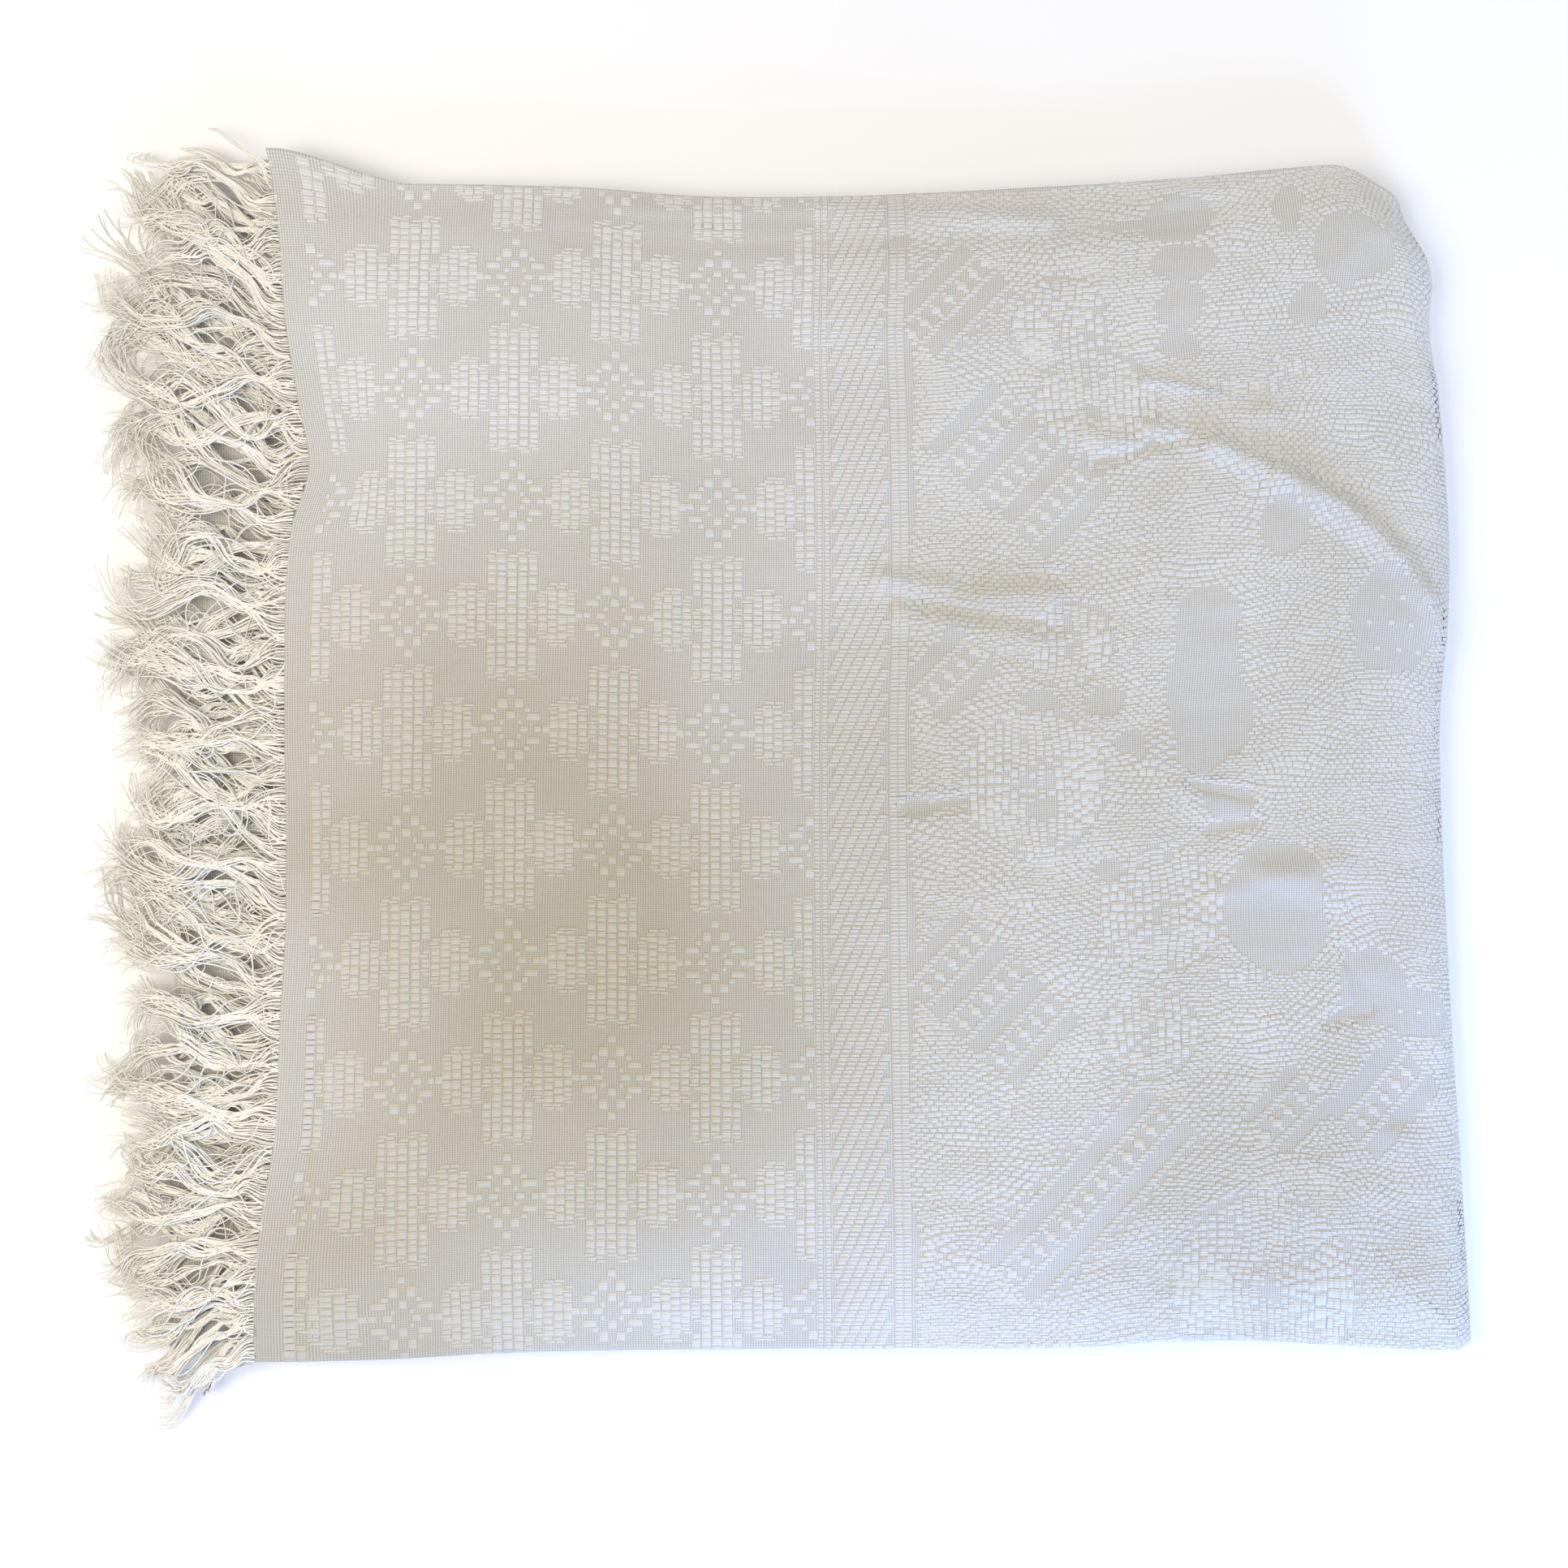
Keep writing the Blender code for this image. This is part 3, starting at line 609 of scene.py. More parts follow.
# How far a float strays along v, and the shares between which its size and its rise vary
STRAY_V = 0.10
SIZES, RISES = (0.94, 1.04), (0.8, 1.15)
# Share by which floats are pressed flatter on a crease, from what height of it, and over how much more
PRESSED, PRESSED_FROM, PRESSED_OVER = 0.35, 1.0, 3.0


class Chart:
    """Floats of the pattern: middle u and v and full size along u and v in millimetres, share of the rise."""

    def __init__(self):
        self.rows = []

    def add(self, u, v, size_u, size_v, rise=1.0):
        self.rows.append((u, v, size_u, size_v, rise))


def add_floats(name, chart, seed, uneven=0.12):
    """One mesh of pillows, laid on the skin of the top layer."""
    rows = np.array(chart.rows)
    random = np.random.default_rng(seed)
    u, v, size_u, size_v, rise = rows.T
    u = u + random.normal(0, uneven, len(u))
    v = v + random.normal(0, STRAY_V, len(u))
    half = (np.stack((size_u, size_v), axis=-1) - GAP) * random.uniform(*SIZES, (len(u), 2)) / 2
    s, t = np.array((-1, 1, 1, -1)), np.array((-1, -1, 1, 1))
    inset = np.minimum(SLOPE, MOST_SLOPE * half)
    uu = np.concatenate((u[:, None] + s * half[:, :1], u[:, None] + s * (half - inset)[:, :1]), axis=1)
    vv = np.concatenate((v[:, None] + t * half[:, 1:], v[:, None] + t * (half - inset)[:, 1:]), axis=1)
    rise = rise * (1 - PRESSED * soft((tightness(u, v) - PRESSED_FROM) / PRESSED_OVER))
    top = FLOAT_RISE * rise * random.uniform(*RISES, len(u))
    high = np.concatenate((np.full((len(u), 4), SUNK), np.repeat(top[:, None], 4, axis=1)), axis=1)
    points = skin(uu, vv, high).reshape(-1, 3)
    quad = np.array(((4, 5, 6, 7), (0, 1, 5, 4), (1, 2, 6, 5), (2, 3, 7, 6), (3, 0, 4, 7)))
    faces = (np.arange(len(u))[:, None, None] * 8 + quad).reshape(-1, 4)
    piece = add_piece(name, points, faces, float_cotton)
    add_values(piece.data, "flat_place", np.stack((uu, vv, high), axis=-1).reshape(-1, 3))
    # Share of yellowing and painted shade at each point of the floats
    add_values(piece.data, "age_and_shade", yellowing_and_shade(uu, vv).ravel())
    return piece


# %% [markdown]
# ## The field of flowers
# The left half carries a half-drop repeat of four-petalled flowers, with a small diamond of squares between
# them. Each flower is charted as thirteen columns, from the height of the petal in each column, the way a
# weaver would draw it on squared paper. The columns are filled with blocks, and the petal ends are capped by
# short wide floats.

# %% Flowers and diamonds
FLOWER_U, FLOWER_V = -190.6, 84.2
STEP_U, STEP_V = 52.2, 58.85
# Columns of a flower: distance from its middle, width, and the two heights between which blocks stand
PETAL_COLUMNS = ((0.0, 5.2, 0.0, 31.0), (5.4, 4.9, 0.0, 34.2), (10.5, 4.5, 12.0, 33.0),
                 (10.3, 4.4, 0.0, 6.4), (15.4, 4.9, 0.0, 12.6), (20.5, 5.0, 0.0, 16.6),
                 (25.5, 5.0, 0.0, 16.8), (30.3, 4.8, 0.0, 13.4))
# Heights of the blocks of a column, one after the other and then over again, and of its two capping floats
BLOCKS = (3.4, 4.6, 2.6, 4.0, 3.0, 5.0, 3.6)
SHORTEST_BLOCK = 1.8
CAP = 1.9
CAP_ASIDE, CAP_WIDER, CAP_RISE = 1.3, 1.05, 1.1
FIELD_LEFT, FIELD_RIGHT = -239.0, 14.0
# Quarter of a diamond: distances from its middle, and sizes
DIAMOND = ((0, 7.2, 4.8, 4.6), (4.4, 13.2, 5.0, 5.4), (0, 19.4, 4.6, 4.2), (7.0, 0, 5.0, 3.6),
           (14.0, 0, 4.2, 3.6), (18.2, 0, 4.4, 4.2), (11.4, 6.3, 7.4, 3.8), (4.6, 3.6, 2.6, 3.0),
           (8.6, 9.8, 3.6, 2.8))
SKIN_FRONT, SKIN_BACK = FRONT_BEND_Y - 5.0, BACK_BEND_Y + 1.5


def add_column(chart, u, v, way, low, high, width, turn):
    """Blocks of one petal column, from its low to its high end, with two small capping floats at the end."""
    body = high - 2 * CAP
    edges = [low]
    while body - edges[-1] > 0.1:
        height = BLOCKS[(len(edges) + turn) % len(BLOCKS)]
        edges.append(edges[-1] + height if body - edges[-1] - height > SHORTEST_BLOCK else body)
    for a, b in zip(edges, edges[1:]):
        chart.add(u, v + way * (a + b) / 2, width, b - a)
    for k in range(2):
        cap_v = v + way * (body + CAP * (k + 0.5))
        chart.add(u + (k - 0.5) * CAP_ASIDE, cap_v, width * CAP_WIDER, CAP, CAP_RISE)


def add_flower(chart, centre_u, centre_v):
    """One flower, with its columns mirrored to both sides and both ways."""
    for k, (away, width, low, high) in enumerate(PETAL_COLUMNS):
        for side in ((-1, 1) if away else (1,)):
            u = centre_u + side * away
            if FIELD_LEFT < u < FIELD_RIGHT:
                for way in (-1, 1):
                    add_column(chart, u, centre_v, way, low, high, width, 3 * k)


flowers = Chart()
for j in range(-4, 7):
    for k in range(-1, 5):
        middle = (FLOWER_U + STEP_U * k, FLOWER_V - STEP_V * j)
        if (j + k) % 2:
            add_flower(flowers, *middle)
        else:
            for du, dv, size_u, size_v in DIAMOND:
                for su in ((-1, 1) if du else (1,)):
                    for sv in ((-1, 1) if dv else (1,)):
                        if FIELD_LEFT < middle[0] + su * du < FIELD_RIGHT:
                            flowers.add(middle[0] + su * du, middle[1] + sv * dv, size_u, size_v)
flowers.rows = [row for row in flowers.rows if SKIN_FRONT < row[1] < SKIN_BACK]
flower_floats = add_floats("flower_floats", flowers, 11)

# %% [markdown]
# ## The band
# Between the two fields runs a narrow band: ladders of short floats at its sides, and between them a steep
# twill whose floats step sideways a little in every row.

# %% Ladders and twill
ROW_HEIGHT = 2.1
# Ladders: middle u, width of their floats, shift along v
LADDERS = ((17.6, 3.2, 0.0), (21.6, 3.2, 0.0), (56.6, 4.4, 1.0), (60.9, 4.4, 1.0))
LADDER_RISE = 0.8
# Twill: where it starts, its pitch, its step aside in each row, and after how many millimetres it comes round
TWILL_START, TWILL_PITCH, TWILL_STEP, TWILL_ROUND = 24.6 + 2.2, 5.3, 0.9, 31.8
TWILL_BACK, TWILL_LEFT, TWILL_RIGHT = 2.6, 24.8, 52.0
TWILL_WIDTH, TWILL_RISE = 5.0, 1.4

band = Chart()
for v in np.arange(SKIN_FRONT, SKIN_BACK, ROW_HEIGHT):
    row = round((v - SKIN_FRONT) / ROW_HEIGHT)
    for u, width, shift in LADDERS:
        band.add(u, v + shift, width, ROW_HEIGHT, LADDER_RISE)
    for k in range(-1, 7):
        u = TWILL_START + (k * TWILL_PITCH + TWILL_STEP * row) % TWILL_ROUND - TWILL_BACK
        if TWILL_LEFT < u < TWILL_RIGHT:
            band.add(u, v, TWILL_WIDTH, ROW_HEIGHT, TWILL_RISE)
band_floats = add_floats("band_floats", band, 12)

# %% [markdown]
# ## The great motif
# The right half belongs to one large flower of many parts. Its floats lie in wavy rows like bricks, with
# every other row moved aside by half a float. So the field is filled column by column: along each column a
# phase rises and sways, and a float ends wherever the phase passes a whole number. In a fan of petals the
# phase is the distance from the fan's middle, which gives rings. Plain ovals and slanting bars are left open.

# %% Plan of the motif
BRICK_U, BRICK_V = 4.1, 2.25
# The bricks near the right fold are narrower
FINE_U, FINE_FROM = 3.3, 238.0
MOTIF_LEFT, MOTIF_RIGHT = 66.5, BEND_X + 38.0
# Open ovals of plain cloth: middle u, v, half width, half height
PLAIN = ((204, 290, 17, 12), (206, 264, 16, 12), (207, 241, 14, 11), (207, 222, 12, 9), (261, 290, 9, 14),
         (296, 266, 22, 22), (274, 235, 11, 11), (251, 121, 12, 14), (215, 68, 17, 25), (217, 31, 21, 37),
         (227, -18, 12, 8), (309, 73, 24, 28), (251, -71, 26, 35), (299, -110, 20, 18), (323, -122, 20, 15),
         (132, 41, 10, 6), (162, 39, 11, 7), (180, 15, 7, 8), (135, -17, 7, 6), (163, -50, 8, 6),
         (67, -14, 11, 7))
# Fans of petals: middle u, v, radius, number of petals
FANS = ((129, -2, 36, 12), (192, -71, 31, 11), (160, 189, 31, 12), (144, 235, 25, 9), (146, 68, 21, 9),
        (184, -132, 23, 9), (238, -262, 46, 14))
# Panels of slanting bars: middle u, v, half the reach along the bars and across them
BARS = ((86, 252, 27, 24), (120, 160, 24, 46), (84, 54, 20, 17), (103, -112, 24, 42), (151, -213, 58, 24),
        (252, -173, 18, 15), (301, -165, 26, 18))
BAR_PITCH = 25.7
# Floats of a bar: step along it, distances to both sides of its middle, and sizes
BAR_FLOATS = ((8.9, (0.0,), 5.4, 4.7), (8.9, (-3.6, 3.6), 3.4, 2.6), (2.8, (-7.0, 7.0), 4.6, 2.1))
BAR_COUNTS, ALONG_COUNTS = range(-4, 5), range(-26, 27)
DIAGONAL = 2 ** 0.5
# Rings of a fan, half the gap between two petals, and the plain rim round a fan
RING, PETAL_GAP, FAN_RIM = 2.6, 0.4, 1.5
# The floats of a fan count from here, and those of each petal from a hundred further on
FAN_COUNT, PETAL_COUNT = 5000, 100
SHORTEST, LONGEST = 1.5, 7.0
SEARCH_STEP = 0.2
# Soft noise, as amount, length and seed: for the phase, the outlines of ovals, and places along u and v
PHASE_SWAY = ((2.4, 34.0, 7), (0.9, 13.0, 8))
OVAL_SWAY = (4.0, 17.0, 9)
SWAY_U, SWAY_V = (3.2, 27.0, 6), (2.2, 24.0, 5)
FAN_RISE, BRICK_RISE = 1.05, 1.3
# Ovals with dots: middle u and v
DOTTED = ((309, 73), (323, -122))
DOT_STEP_U, DOT_STEP_V, DOT_U, DOT_V = 11, 13, 3.6, 3.0


def sway(u, v, amount, length, seed):
    """Soft noise of so many millimetres."""
    return amount * soft_noise(u, v, length, seed)


def in_oval(u, v, row):
    """Whether each place lies in an oval."""
    return ((u - row[0]) / row[2]) ** 2 + ((v - row[1]) / row[3]) ** 2 < 1


def in_fan(u, v):
    """Whether each place lies in a fan of petals."""
    return np.any([np.hypot(u - row[0], v - row[1]) < row[2] for row in FANS], axis=0)


def on_fan(u, v, row):
    """Distance of each place from the middle of a fan, and its way round, counted in petals."""
    return np.hypot(u - row[0], v - row[1]), np.arctan2(v - row[1], u - row[0]) * row[3] / (2 * pi)


def on_panel(u, v, row):
    """Places along and across the bars of a panel."""
    return ((u - row[0]) + (v - row[1])) / DIAGONAL, ((u - row[0]) - (v - row[1])) / DIAGONAL


def float_number(u, v):
    """Which float of its column each place belongs to."""
    number = np.floor(v / BRICK_V + sum(sway(u, v, *row) for row in PHASE_SWAY))
    for row in FANS:
        away, petal = on_fan(u, v, row)
        petal = np.round(petal)
        ring = np.floor(away / RING + 0.5 * (petal % 2)) + PETAL_COUNT * petal + FAN_COUNT
        number = np.where(away < row[2], ring, number)
    return number


def column_floats(u):
    """Middles and heights of the floats in one column, and 1 for each that is in an odd row of bricks."""
    v = np.arange(SKIN_FRONT, SKIN_BACK, SEARCH_STEP)
    edges = v[1:][np.diff(float_number(np.full_like(v, u), v)) != 0]
    kept = [SKIN_FRONT]
    for edge in edges:
        if edge - kept[-1] > SHORTEST:
            parts = int(np.ceil((edge - kept[-1]) / LONGEST))
            kept += [kept[-1] + (edge - kept[-1]) * k / parts for k in range(1, parts + 1)]
    kept = np.array(kept)
    middles = (kept[1:] + kept[:-1]) / 2
    odd = (float_number(np.full_like(middles, u), middles) % 2) * ~in_fan(u, middles)
    return middles, np.diff(kept), odd


def is_open(u, v):
    """Places of the motif that are left plain, or are filled by bars instead."""
    moved = u + sway(u, v, *OVAL_SWAY), v + sway(v, u, *OVAL_SWAY)
    found = np.zeros_like(v, bool)
    for row in PLAIN:
        found |= in_oval(*moved, row)
    for row in BARS:
        along, across = on_panel(u, v, row)
        found |= (np.abs(along) < row[2]) & (np.abs(across) < row[3])
    for row in FANS:
        away, petal = on_fan(u, v, row)
        gap = PETAL_GAP * row[3] / (2 * pi * np.maximum(away, 1.0))
        between = np.abs(petal - np.round(petal)) > 0.5 - gap
        found |= (away < row[2] + FAN_RIM) & ((away > row[2]) | between)
    return found


def add_bars(chart, row):
    """Chains of squares and stairs of short floats, with bars of plain cloth between them."""
    for k in BAR_COUNTS:
        for step, offsets, size_u, size_v in BAR_FLOATS:
            for across in [k * BAR_PITCH + offset for offset in offsets]:
                for along in [m * step for m in ALONG_COUNTS]:
                    u = row[0] + (along + across) / DIAGONAL
                    v = row[1] + (along - across) / DIAGONAL
                    if abs(across) < row[3] and abs(along) < row[2] and SKIN_FRONT < v < SKIN_BACK:
                        chart.add(u, v, size_u, size_v)


# %% Weave the motif
motif = Chart()
wide_columns = np.arange(MOTIF_LEFT, FINE_FROM, BRICK_U)
for u in np.concatenate((wide_columns, np.arange(FINE_FROM, MOTIF_RIGHT, FINE_U))):
    middles, heights, odd = column_floats(u)
    width = BRICK_U if u < FINE_FROM else FINE_U
    same_u = np.full_like(middles, u)
    moved_u = u + odd * width / 2 + sway(same_u, middles, *SWAY_U)
    moved_v = middles + sway(middles, same_u, *SWAY_V)
    kept = ~is_open(moved_u, moved_v) & (moved_v >= SKIN_FRONT) & (moved_v <= SKIN_BACK)
    rises = np.where(in_fan(u, middles), FAN_RISE, BRICK_RISE)
    for near_u, v, height, rise in zip(moved_u[kept], moved_v[kept], heights[kept], rises[kept]):
        motif.add(near_u, v, width, height, rise)
for row in BARS:
    add_bars(motif, row)
for middle_u, middle_v in DOTTED:
    for i in range(-1, 2):
        for j in range(-1, 2):
            motif.add(middle_u + DOT_STEP_U * (i + (j % 2) / 2), middle_v + DOT_STEP_V * j, DOT_U, DOT_V)

# %% Two halves of the motif
SPLIT_U = (MOTIF_LEFT + BEND_X) / 2
MOTIF_UNEVEN = 0.3
left_half, right_half = Chart(), Chart()
for row in motif.rows:
    (left_half if row[0] < SPLIT_U else right_half).rows.append(row)
motif_floats = [add_floats("motif_floats_left", left_half, 13, MOTIF_UNEVEN),
                add_floats("motif_floats_right", right_half, 14, MOTIF_UNEVEN)]

# %% [markdown]
# ## The fringe
# At the cut end the cross threads were pulled out, and the long threads that remain were left to hang. They
# cling together in soft, wavy locks that fray at their tips. Hair curves would look similar, but the exported
# model needs a mesh, so each thread is a thin three-sided tube. Several threads follow one lock's course,
# each at its own place in the lock, gathered near the root and spreading at the tip.

# %% Material of the fringe
YARN_DARK, YARN_LIGHT = "e6e3d8", "f3f1ea"
# Light soaks through loose yarn, so its gaps are never dark: a faint painted glow of its own stands for that
YARN_WITH_PAINTED_GLOW = {"Roughness": 0.85, "Sheen Weight": 0.4, "Sheen Roughness": 0.5, "Emission Color": linear("f2eee2"),
        "Emission Strength": 0.05}
# Pitch and depth of the grooves between the twisted fibres
TWIST_PITCH, TWIST_BUMP = 1.4, 0.15 * MM


def fringe_cotton():
    """Soft spun cotton yarn, a little different from thread to thread, with a faint painted glow."""
    material, tree, shader = start_material("spun_cotton_yarn", YARN_WITH_PAINTED_GLOW)
    tone = add_node(tree, "ShaderNodeAttribute", {"attribute_name": "tone"})
    parts = add_node(tree, "ShaderNodeSeparateXYZ", (), {0: tone.outputs["Vector"]})
    tones = {"data_type": "RGBA", 6: linear(YARN_DARK), 7: linear(YARN_LIGHT)}
    colour = add_node(tree, "ShaderNodeMix", tones, {"Factor": parts.outputs["X"]})
    twist = add_node(tree, "ShaderNodeMath", {"operation": "MULTIPLY", 1: 2 * pi / TWIST_PITCH},
                     {0: parts.outputs["Y"]})
    wave = add_node(tree, "ShaderNodeMath", {"operation": "SINE"}, {0: twist.outputs[0]})
    bump = add_node(tree, "ShaderNodeBump", {"Strength": 0.4, "Distance": TWIST_BUMP},
                    {"Height": wave.outputs[0]})
    tree.links.new(colour.outputs[2], shader.inputs["Base Color"])
    tree.links.new(bump.outputs[0], shader.inputs["Normal"])
    return material


yarn_cotton = fringe_cotton()

# %% [markdown]
# ## The course of the locks
# Each bundle of threads leaves the hem at its own place, heads for its tip in slow and quick waves, and
# sinks from the hem to what lies below it: first the lower layers, then the floor. Tables hold how far the
# tips reach and how they splay. One seeded source gives everything random, so each run makes the same fringe.

# %% Sizes and habits of the locks
LOCKS_PER_ROW, BUNDLES_PER_ROW, THREADS_PER_BUNDLE = 34, 46, 14
THREAD_POINTS = 26
THREAD_RADIUS = 0.52
# Level of the layers below the hem, the share of it that is left at each x, and how it falls beside the pile
REST_LEVEL = 16.4
LEDGE = ((-354, 0.0), (-340, 0.0), (-329, 0.32), (-318, 0.72), (-306, 1.0), (-288, 1.0), (-270, 1.0))
SIDE_FALL = 42.0
# Rows of locks lie on each other: height of a row at the hem and at the tips, and its shift in locks
ROW_STEP, ROW_STEP_TIP, ROW_SHIFT = 2.6, 2.0, 0.37
LOWEST_ROW = 0.8
SETTLE_LENGTH = 26.0
# How far a tip lies aside from its root, and how far the tips reach, at each y
SPLAY = ((-292, -46), (-268, -20), (-225, -6), (-150, 4), (-100, 14), (0, 9), (90, 10), (150, 20), (200, 30),
         (250, 32), (285, 29), (325, 24))
REACH = ((-345, -318), (-300, -326), (-278, -338), (-233, -360), (-197, -338), (-155, -357), (-120, -338),
         (-62, -361), (-14, -342), (30, -346), (83, -362), (130, -342), (160, -353), (235, -368), (290, -364),
         (330, -340), (350, -318))
# Waves of a lock, of a thread in it and of a loose thread: ranges of their strength and of their turns
SLOW_WAVES, QUICK_WAVES = ((0.25, 0.85), (0.9, 2.1)), ((0.1, 0.35), (2.6, 4.5))
THREAD_WAVES, LOOSE_WAVES = ((0.03, 0.10), (2.0, 6.0)), ((0.4, 1.2), (1.0, 2.6))
# Shares of the locks that make a loop and of the threads that are loose, and how high loose threads stand
LOOPED, LOOSE, LOOSE_LIFT = 0.10, 0.08, (0.3, 1.6)
# Spread of the tips, and the share that short locks lack
TIP_SPREAD, SHORTEN, SHORTEN_POWER = 9.0, 0.34, 1.8
# Ranges of a bundle: pull towards its lock, distance between threads, and lift off the row below
PULL, THREAD_GAP, LIFT = (0.3, 0.8), (0.22, 0.52), (-0.4, 1.4)
# Ranges of a thread: its length, and the share of it after which it has joined the bundle
LENGTHS, JOINED = (0.85, 1.04), (0.15, 0.45)
# Past this distance behind the pile, locks are bent back towards it
BACK_ROOM, BENT_BACK = 14.0, 0.65
ROOT_MARGIN, ROOT_SPREAD = 1.5, 1.8


def rest_height(x, y):
    """Level that the fringe rests on: the lower layers near the hem, then the floor."""
    beyond_side = np.maximum(np.maximum(y - BACK_END, FRONT_END - y), 0.0)
    level = REST_LEVEL * height_share(np.full_like(y, TOP_HEM), y) * (1 - soft(beyond_side / SIDE_FALL))
    ledge = np.array(LEDGE)
    return level * np.interp(x, ledge[:, 0], ledge[:, 1])


def wave(s, random, strengths, turns):
    """A wave along a lock, of a random strength, number of turns and start."""
    strength = random.uniform(*strengths)
    return strength * np.sin(2 * pi * random.uniform(*turns) * s + random.uniform(0, 2 * pi))


def lock_heading(s, random):
    """Angle of a lock at each share s of its way: waves, a bent tip and, now and then, a loop."""
    heading = wave(s, random, *SLOW_WAVES)
    heading = heading + wave(s, random, *QUICK_WAVES)
    # The waves grow over the first part of the way, and the tip bends to one side over the last
    heading = heading * soft(s / 0.15) + random.normal(0, 0.7) * soft((s - 0.6) / 0.4)
    if random.random() < LOOPED:
        # One whole turn somewhere in the middle, over a fifth to a third of the way
        whole_turn = random.choice((-2, 2)) * pi
        heading = heading + whole_turn * soft((s - random.uniform(0.3, 0.6)) / random.uniform(0.18, 0.3))
    return heading


def thread_heading(heading, s, loose, random):
    """Angle of one thread: that of its lock, with a small wave of its own and a freer tip."""
    own = heading + wave(s, random, *THREAD_WAVES)
    own = own + random.normal(0, 0.05) * soft(s * 1.5)
    own = own + random.normal(0, 0.3) * soft((s - 0.75) / 0.3)
    return own + wave(s, random, *LOOSE_WAVES) if loose else own


def bundle_threads(root, rank, index, random):
    """Points along each thread of one bundle: threads, points, xyz."""
    root_x, root_y, root_z = root
    room = (BACK_END - FRONT_END) / BUNDLES_PER_ROW
    place = (index + ROW_SHIFT * rank) * LOCKS_PER_ROW / BUNDLES_PER_ROW
    to_lock = (0.5 - place % 1.0) * room * BUNDLES_PER_ROW / LOCKS_PER_ROW
    tip_y = root_y + float(read_table(SPLAY, root_y)) + random.normal(0, TIP_SPREAD)
    share = 1.0 - SHORTEN * random.random() ** SHORTEN_POWER
    reach = (root_x - float(read_table(REACH, tip_y))) * share
    drift = tip_y - root_y + random.uniform(*PULL) * to_lock
    s = np.linspace(0, 1, THREAD_POINTS)
    heading = lock_heading(s, random)
    size = reach / max(np.mean(np.cos(heading)), 0.75)
    width = random.uniform(*THREAD_GAP)
    lift, twist = random.uniform(*LIFT), random.uniform(0, 2 * pi)
    threads = []
    for k in range(THREADS_PER_BUNDLE):
        loose = random.random() < LOOSE
        own = thread_heading(heading, s, loose, random)
        step = size * random.uniform(*LENGTHS) / (THREAD_POINTS - 1)
        ahead = np.concatenate(([0.0], np.cumsum(np.cos(own[1:])))) * step
        aside = np.concatenate(([0.0], np.cumsum(np.sin(own[1:])))) * step
        # Threads start side by side along the hem and gather into a slowly turning, flat bundle
        gather = soft(s / random.uniform(*JOINED))
        spread = width * (1 - 0.5 * soft((s - 0.45) / 0.55)) * (k - (THREADS_PER_BUNDLE - 1) / 2)
        start = ((k + random.uniform(0, 1)) / THREADS_PER_BUNDLE - 0.5) * room * 1.2
        turn = twist + 3.0 * s
        across = gather * spread * np.cos(turn) + (1 - gather) * start
        x = root_x - ahead + across * np.sin(own) * gather
        y = root_y + drift * soft(ahead / reach) + aside + across * (1 - gather * (1 - np.cos(own)))
        y = y - BENT_BACK * np.maximum(y - BACK_END - BACK_ROOM, 0.0)
        row_step = np.interp(x, (LEDGE[0][0], LEDGE[-1][0]), (ROW_STEP_TIP, ROW_STEP))
        rest = rest_height(x, y) + LOWEST_ROW + rank * row_step
        rest = rest + lift * np.sin(pi * s) + gather * 0.5 * spread * np.sin(turn)
        if loose:
            rest = rest + random.uniform(*LOOSE_LIFT)
        z = root_z + (rest - root_z) * soft((root_x - x) / SETTLE_LENGTH)
        threads.append(np.stack((x, y, np.maximum(z, THREAD_RADIUS)), axis=-1))
    return np.array(threads)


# %% [markdown]
# ## Tubes for the threads
# A ring of three points round each point of a thread is enough for a tube as thin as this. The tubes get
# thinner at the tips, and each carries its own tone and the length along it, for the twist of the yarn.

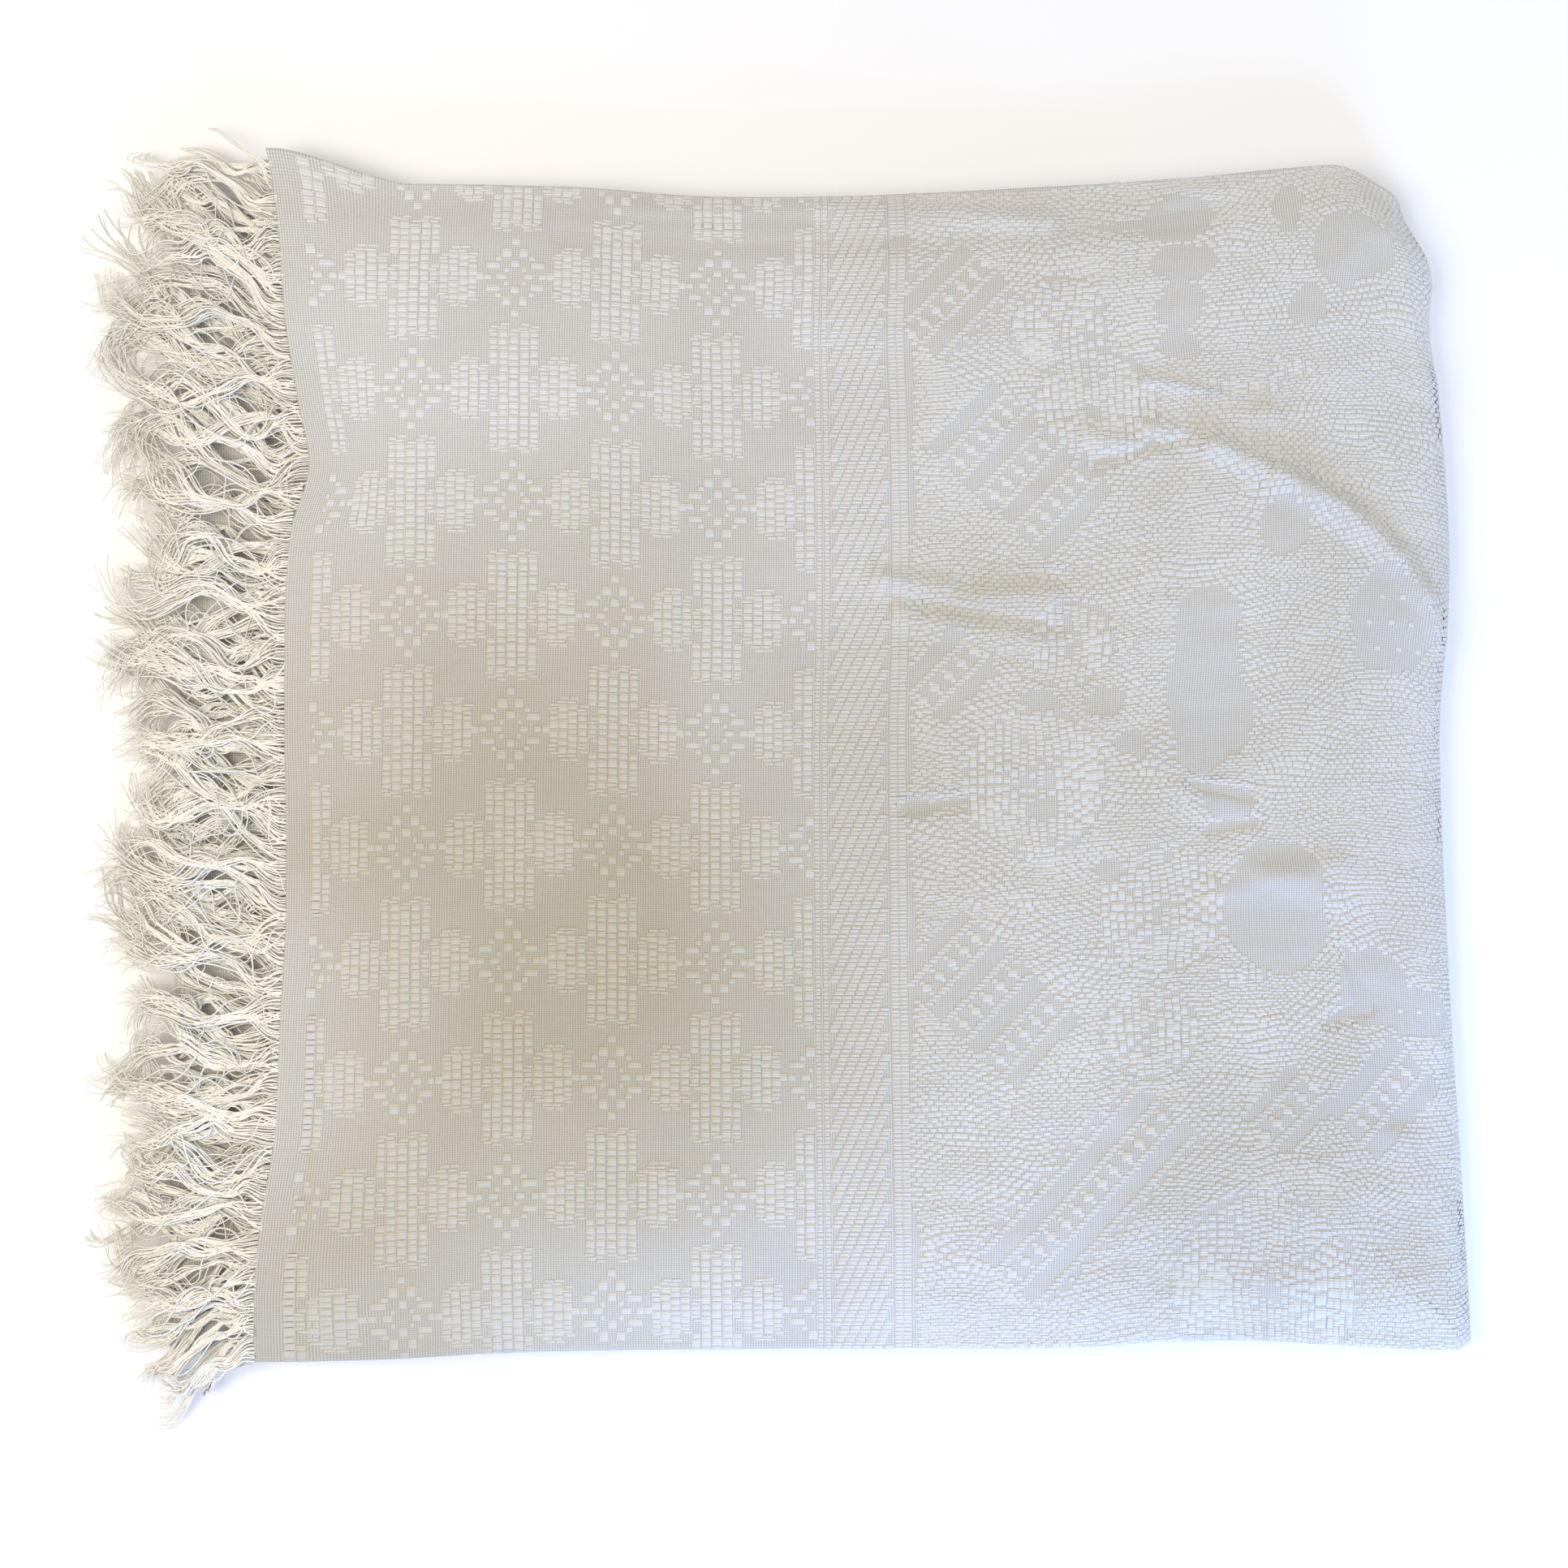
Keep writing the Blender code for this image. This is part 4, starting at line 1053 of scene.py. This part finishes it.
# %% Threads of a whole fringe
def add_fringe(name, hem_x, level, facing, hem_share, drift, rows, seed):
    """All threads of one fringe as one mesh of thin tubes."""
    random = np.random.default_rng(seed)
    lines = []
    for height, rank in rows:
        for index in range(BUNDLES_PER_ROW):
            room = BACK_END - FRONT_END - 2 * ROOT_MARGIN
            y = FRONT_END + ROOT_MARGIN + room * (index + 0.5) / BUNDLES_PER_ROW
            y = np.clip(y + random.normal(0, ROOT_SPREAD), FRONT_END + ROOT_MARGIN, BACK_END - ROOT_MARGIN)
            root = lay(np.array(hem_x), np.array(y), np.array(level + facing * height), hem_share, drift)
            lines.append(bundle_threads(root, rank, index, random))
    lines = np.concatenate(lines)
    along = np.gradient(lines, axis=1)
    along /= np.linalg.norm(along, axis=-1, keepdims=True)
    side = np.cross(along, (0.0, 0.0, 1.0))
    side /= np.maximum(np.linalg.norm(side, axis=-1, keepdims=True), 1e-6)
    up = np.cross(side, along)
    # No two threads are equally thick, and each gets thinner over the last third of its way
    taper = 1.0 - 0.4 * soft((np.linspace(0, 1, THREAD_POINTS) - 0.7) / 0.3)
    radius = THREAD_RADIUS * random.uniform(0.7, 1.2, (len(lines), 1)) * taper
    rings = []
    for k in range(3):
        a = 2 * pi * k / 3 + pi / 2
        rings.append(lines + radius[..., None] * (cos(a) * side + sin(a) * up))
    points = np.stack(rings, axis=2)
    points[..., 2] = np.maximum(points[..., 2], 0.05)
    n, m = len(lines), THREAD_POINTS
    i, j, k = (a.ravel() for a in np.meshgrid(np.arange(n), np.arange(m - 1), np.arange(3), indexing="ij"))
    base, after = (i * m + j) * 3, (k + 1) % 3
    faces = np.stack((base + k, base + after, base + 3 + after, base + 3 + k), axis=-1)
    piece = add_piece(name, points.reshape(-1, 3), faces, yarn_cotton)
    tone = np.broadcast_to(random.uniform(0, 1, (n, 1, 1)), (n, m, 3))
    length = np.cumsum(np.linalg.norm(np.diff(lines, axis=1, prepend=lines[:, :1]), axis=-1), axis=1)
    values = np.stack((tone, np.broadcast_to(length[..., None], (n, m, 3)), np.zeros((n, m, 3))), axis=-1)
    add_values(piece.data, "tone", values.reshape(-1, 3))
    return piece


# Rows of each fringe: height in the section of four layers, and how many rows of locks lie below it
half_pitch = LAYER_PITCH / 2
upper_fringe = add_fringe("upper_fringe_threads", TOP_HEM + 0.5, LEVELS[3], 1, 1.0, 0.0,
                          ((3 * half_pitch, 3), (-half_pitch, 2)), 21)
lower_fringe = add_fringe("lower_fringe_threads", SECOND_HEM + 0.5, LEVELS[2], -1, 0.9, PASS_DRIFT["second"],
                          ((-3 * half_pitch, 1), (half_pitch, 0)), 22)

# %% [markdown]
# ## Floor and light
# The floor is plain and almost white. Low, blue window light comes from the right and the front and strokes
# the weave, the sky adds a pale light from the right and behind, and the room gives a warm fill from the
# upper left. All three lamps are large, so every shadow is soft.

# %% Floor
floor_data = bpy.data.meshes.new("floor")
floor_data.from_pydata([(-6, -6, 0), (6, -6, 0), (6, 6, 0), (-6, 6, 0)], [], [(0, 1, 2, 3)])
floor = bpy.data.objects.new("floor", floor_data)
bpy.context.collection.objects.link(floor)
board = start_material("matt_white_board", {"Base Color": linear("f8f8f8"), "Roughness": 0.9})[0]
floor_data.materials.append(board)

# %% Lights
# Lamps: name, place and aim in metres, size, power, colour
LAMPS = (("window", (0.62, -1.05, 0.38), (0.28, -0.12, 0), 0.4, 15.0, "94bcff"),
         ("sky", (1.15, 0.45, 0.75), (0.2, 0.1, 0), 0.8, 4.5, "e8eeff"),
         ("room", (-0.80, -0.10, 1.15), (-0.2, 0.05, 0), 0.9, 12.0, "fff6ea"))


def add_lamp(name, place, aim, size, power, colour):
    """A square soft lamp that points at a place."""
    data = bpy.data.lights.new(name, "AREA")
    data.size = size
    data.energy = power
    data.color = linear(colour)[:3]
    lamp = bpy.data.objects.new(name, data)
    lamp.location = place
    lamp.visible_camera = False
    lamp.rotation_euler = (Vector(aim) - Vector(place)).to_track_quat("-Z", "Y").to_euler()
    bpy.context.collection.objects.link(lamp)
    print("lamp", name, power, "W")


for lamp in LAMPS:
    add_lamp(*lamp)
world = bpy.data.worlds.new("room_air")
world.use_nodes = True
world.node_tree.nodes["Background"].inputs["Color"].default_value = linear("f4f2ee")
world.node_tree.nodes["Background"].inputs["Strength"].default_value = 0.62
bpy.context.scene.world = world
bpy.context.scene.view_settings.view_transform = "Standard"

# %% [markdown]
# ## The pieces and the solids they stand for
# The sheet and the two fringes stand for the three solids, which are hidden, and the sheet, its floats and
# the fringes all ride on the one body of the part.

on_cloth = [flower_floats, band_floats] + motif_floats
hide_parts("bedspread_cloth")
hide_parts("fringe_upper")
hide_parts("fringe_lower")
for piece in [sheet] + on_cloth:
    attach(piece, "root")
for piece in (upper_fringe, lower_fringe):
    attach(piece, "root")
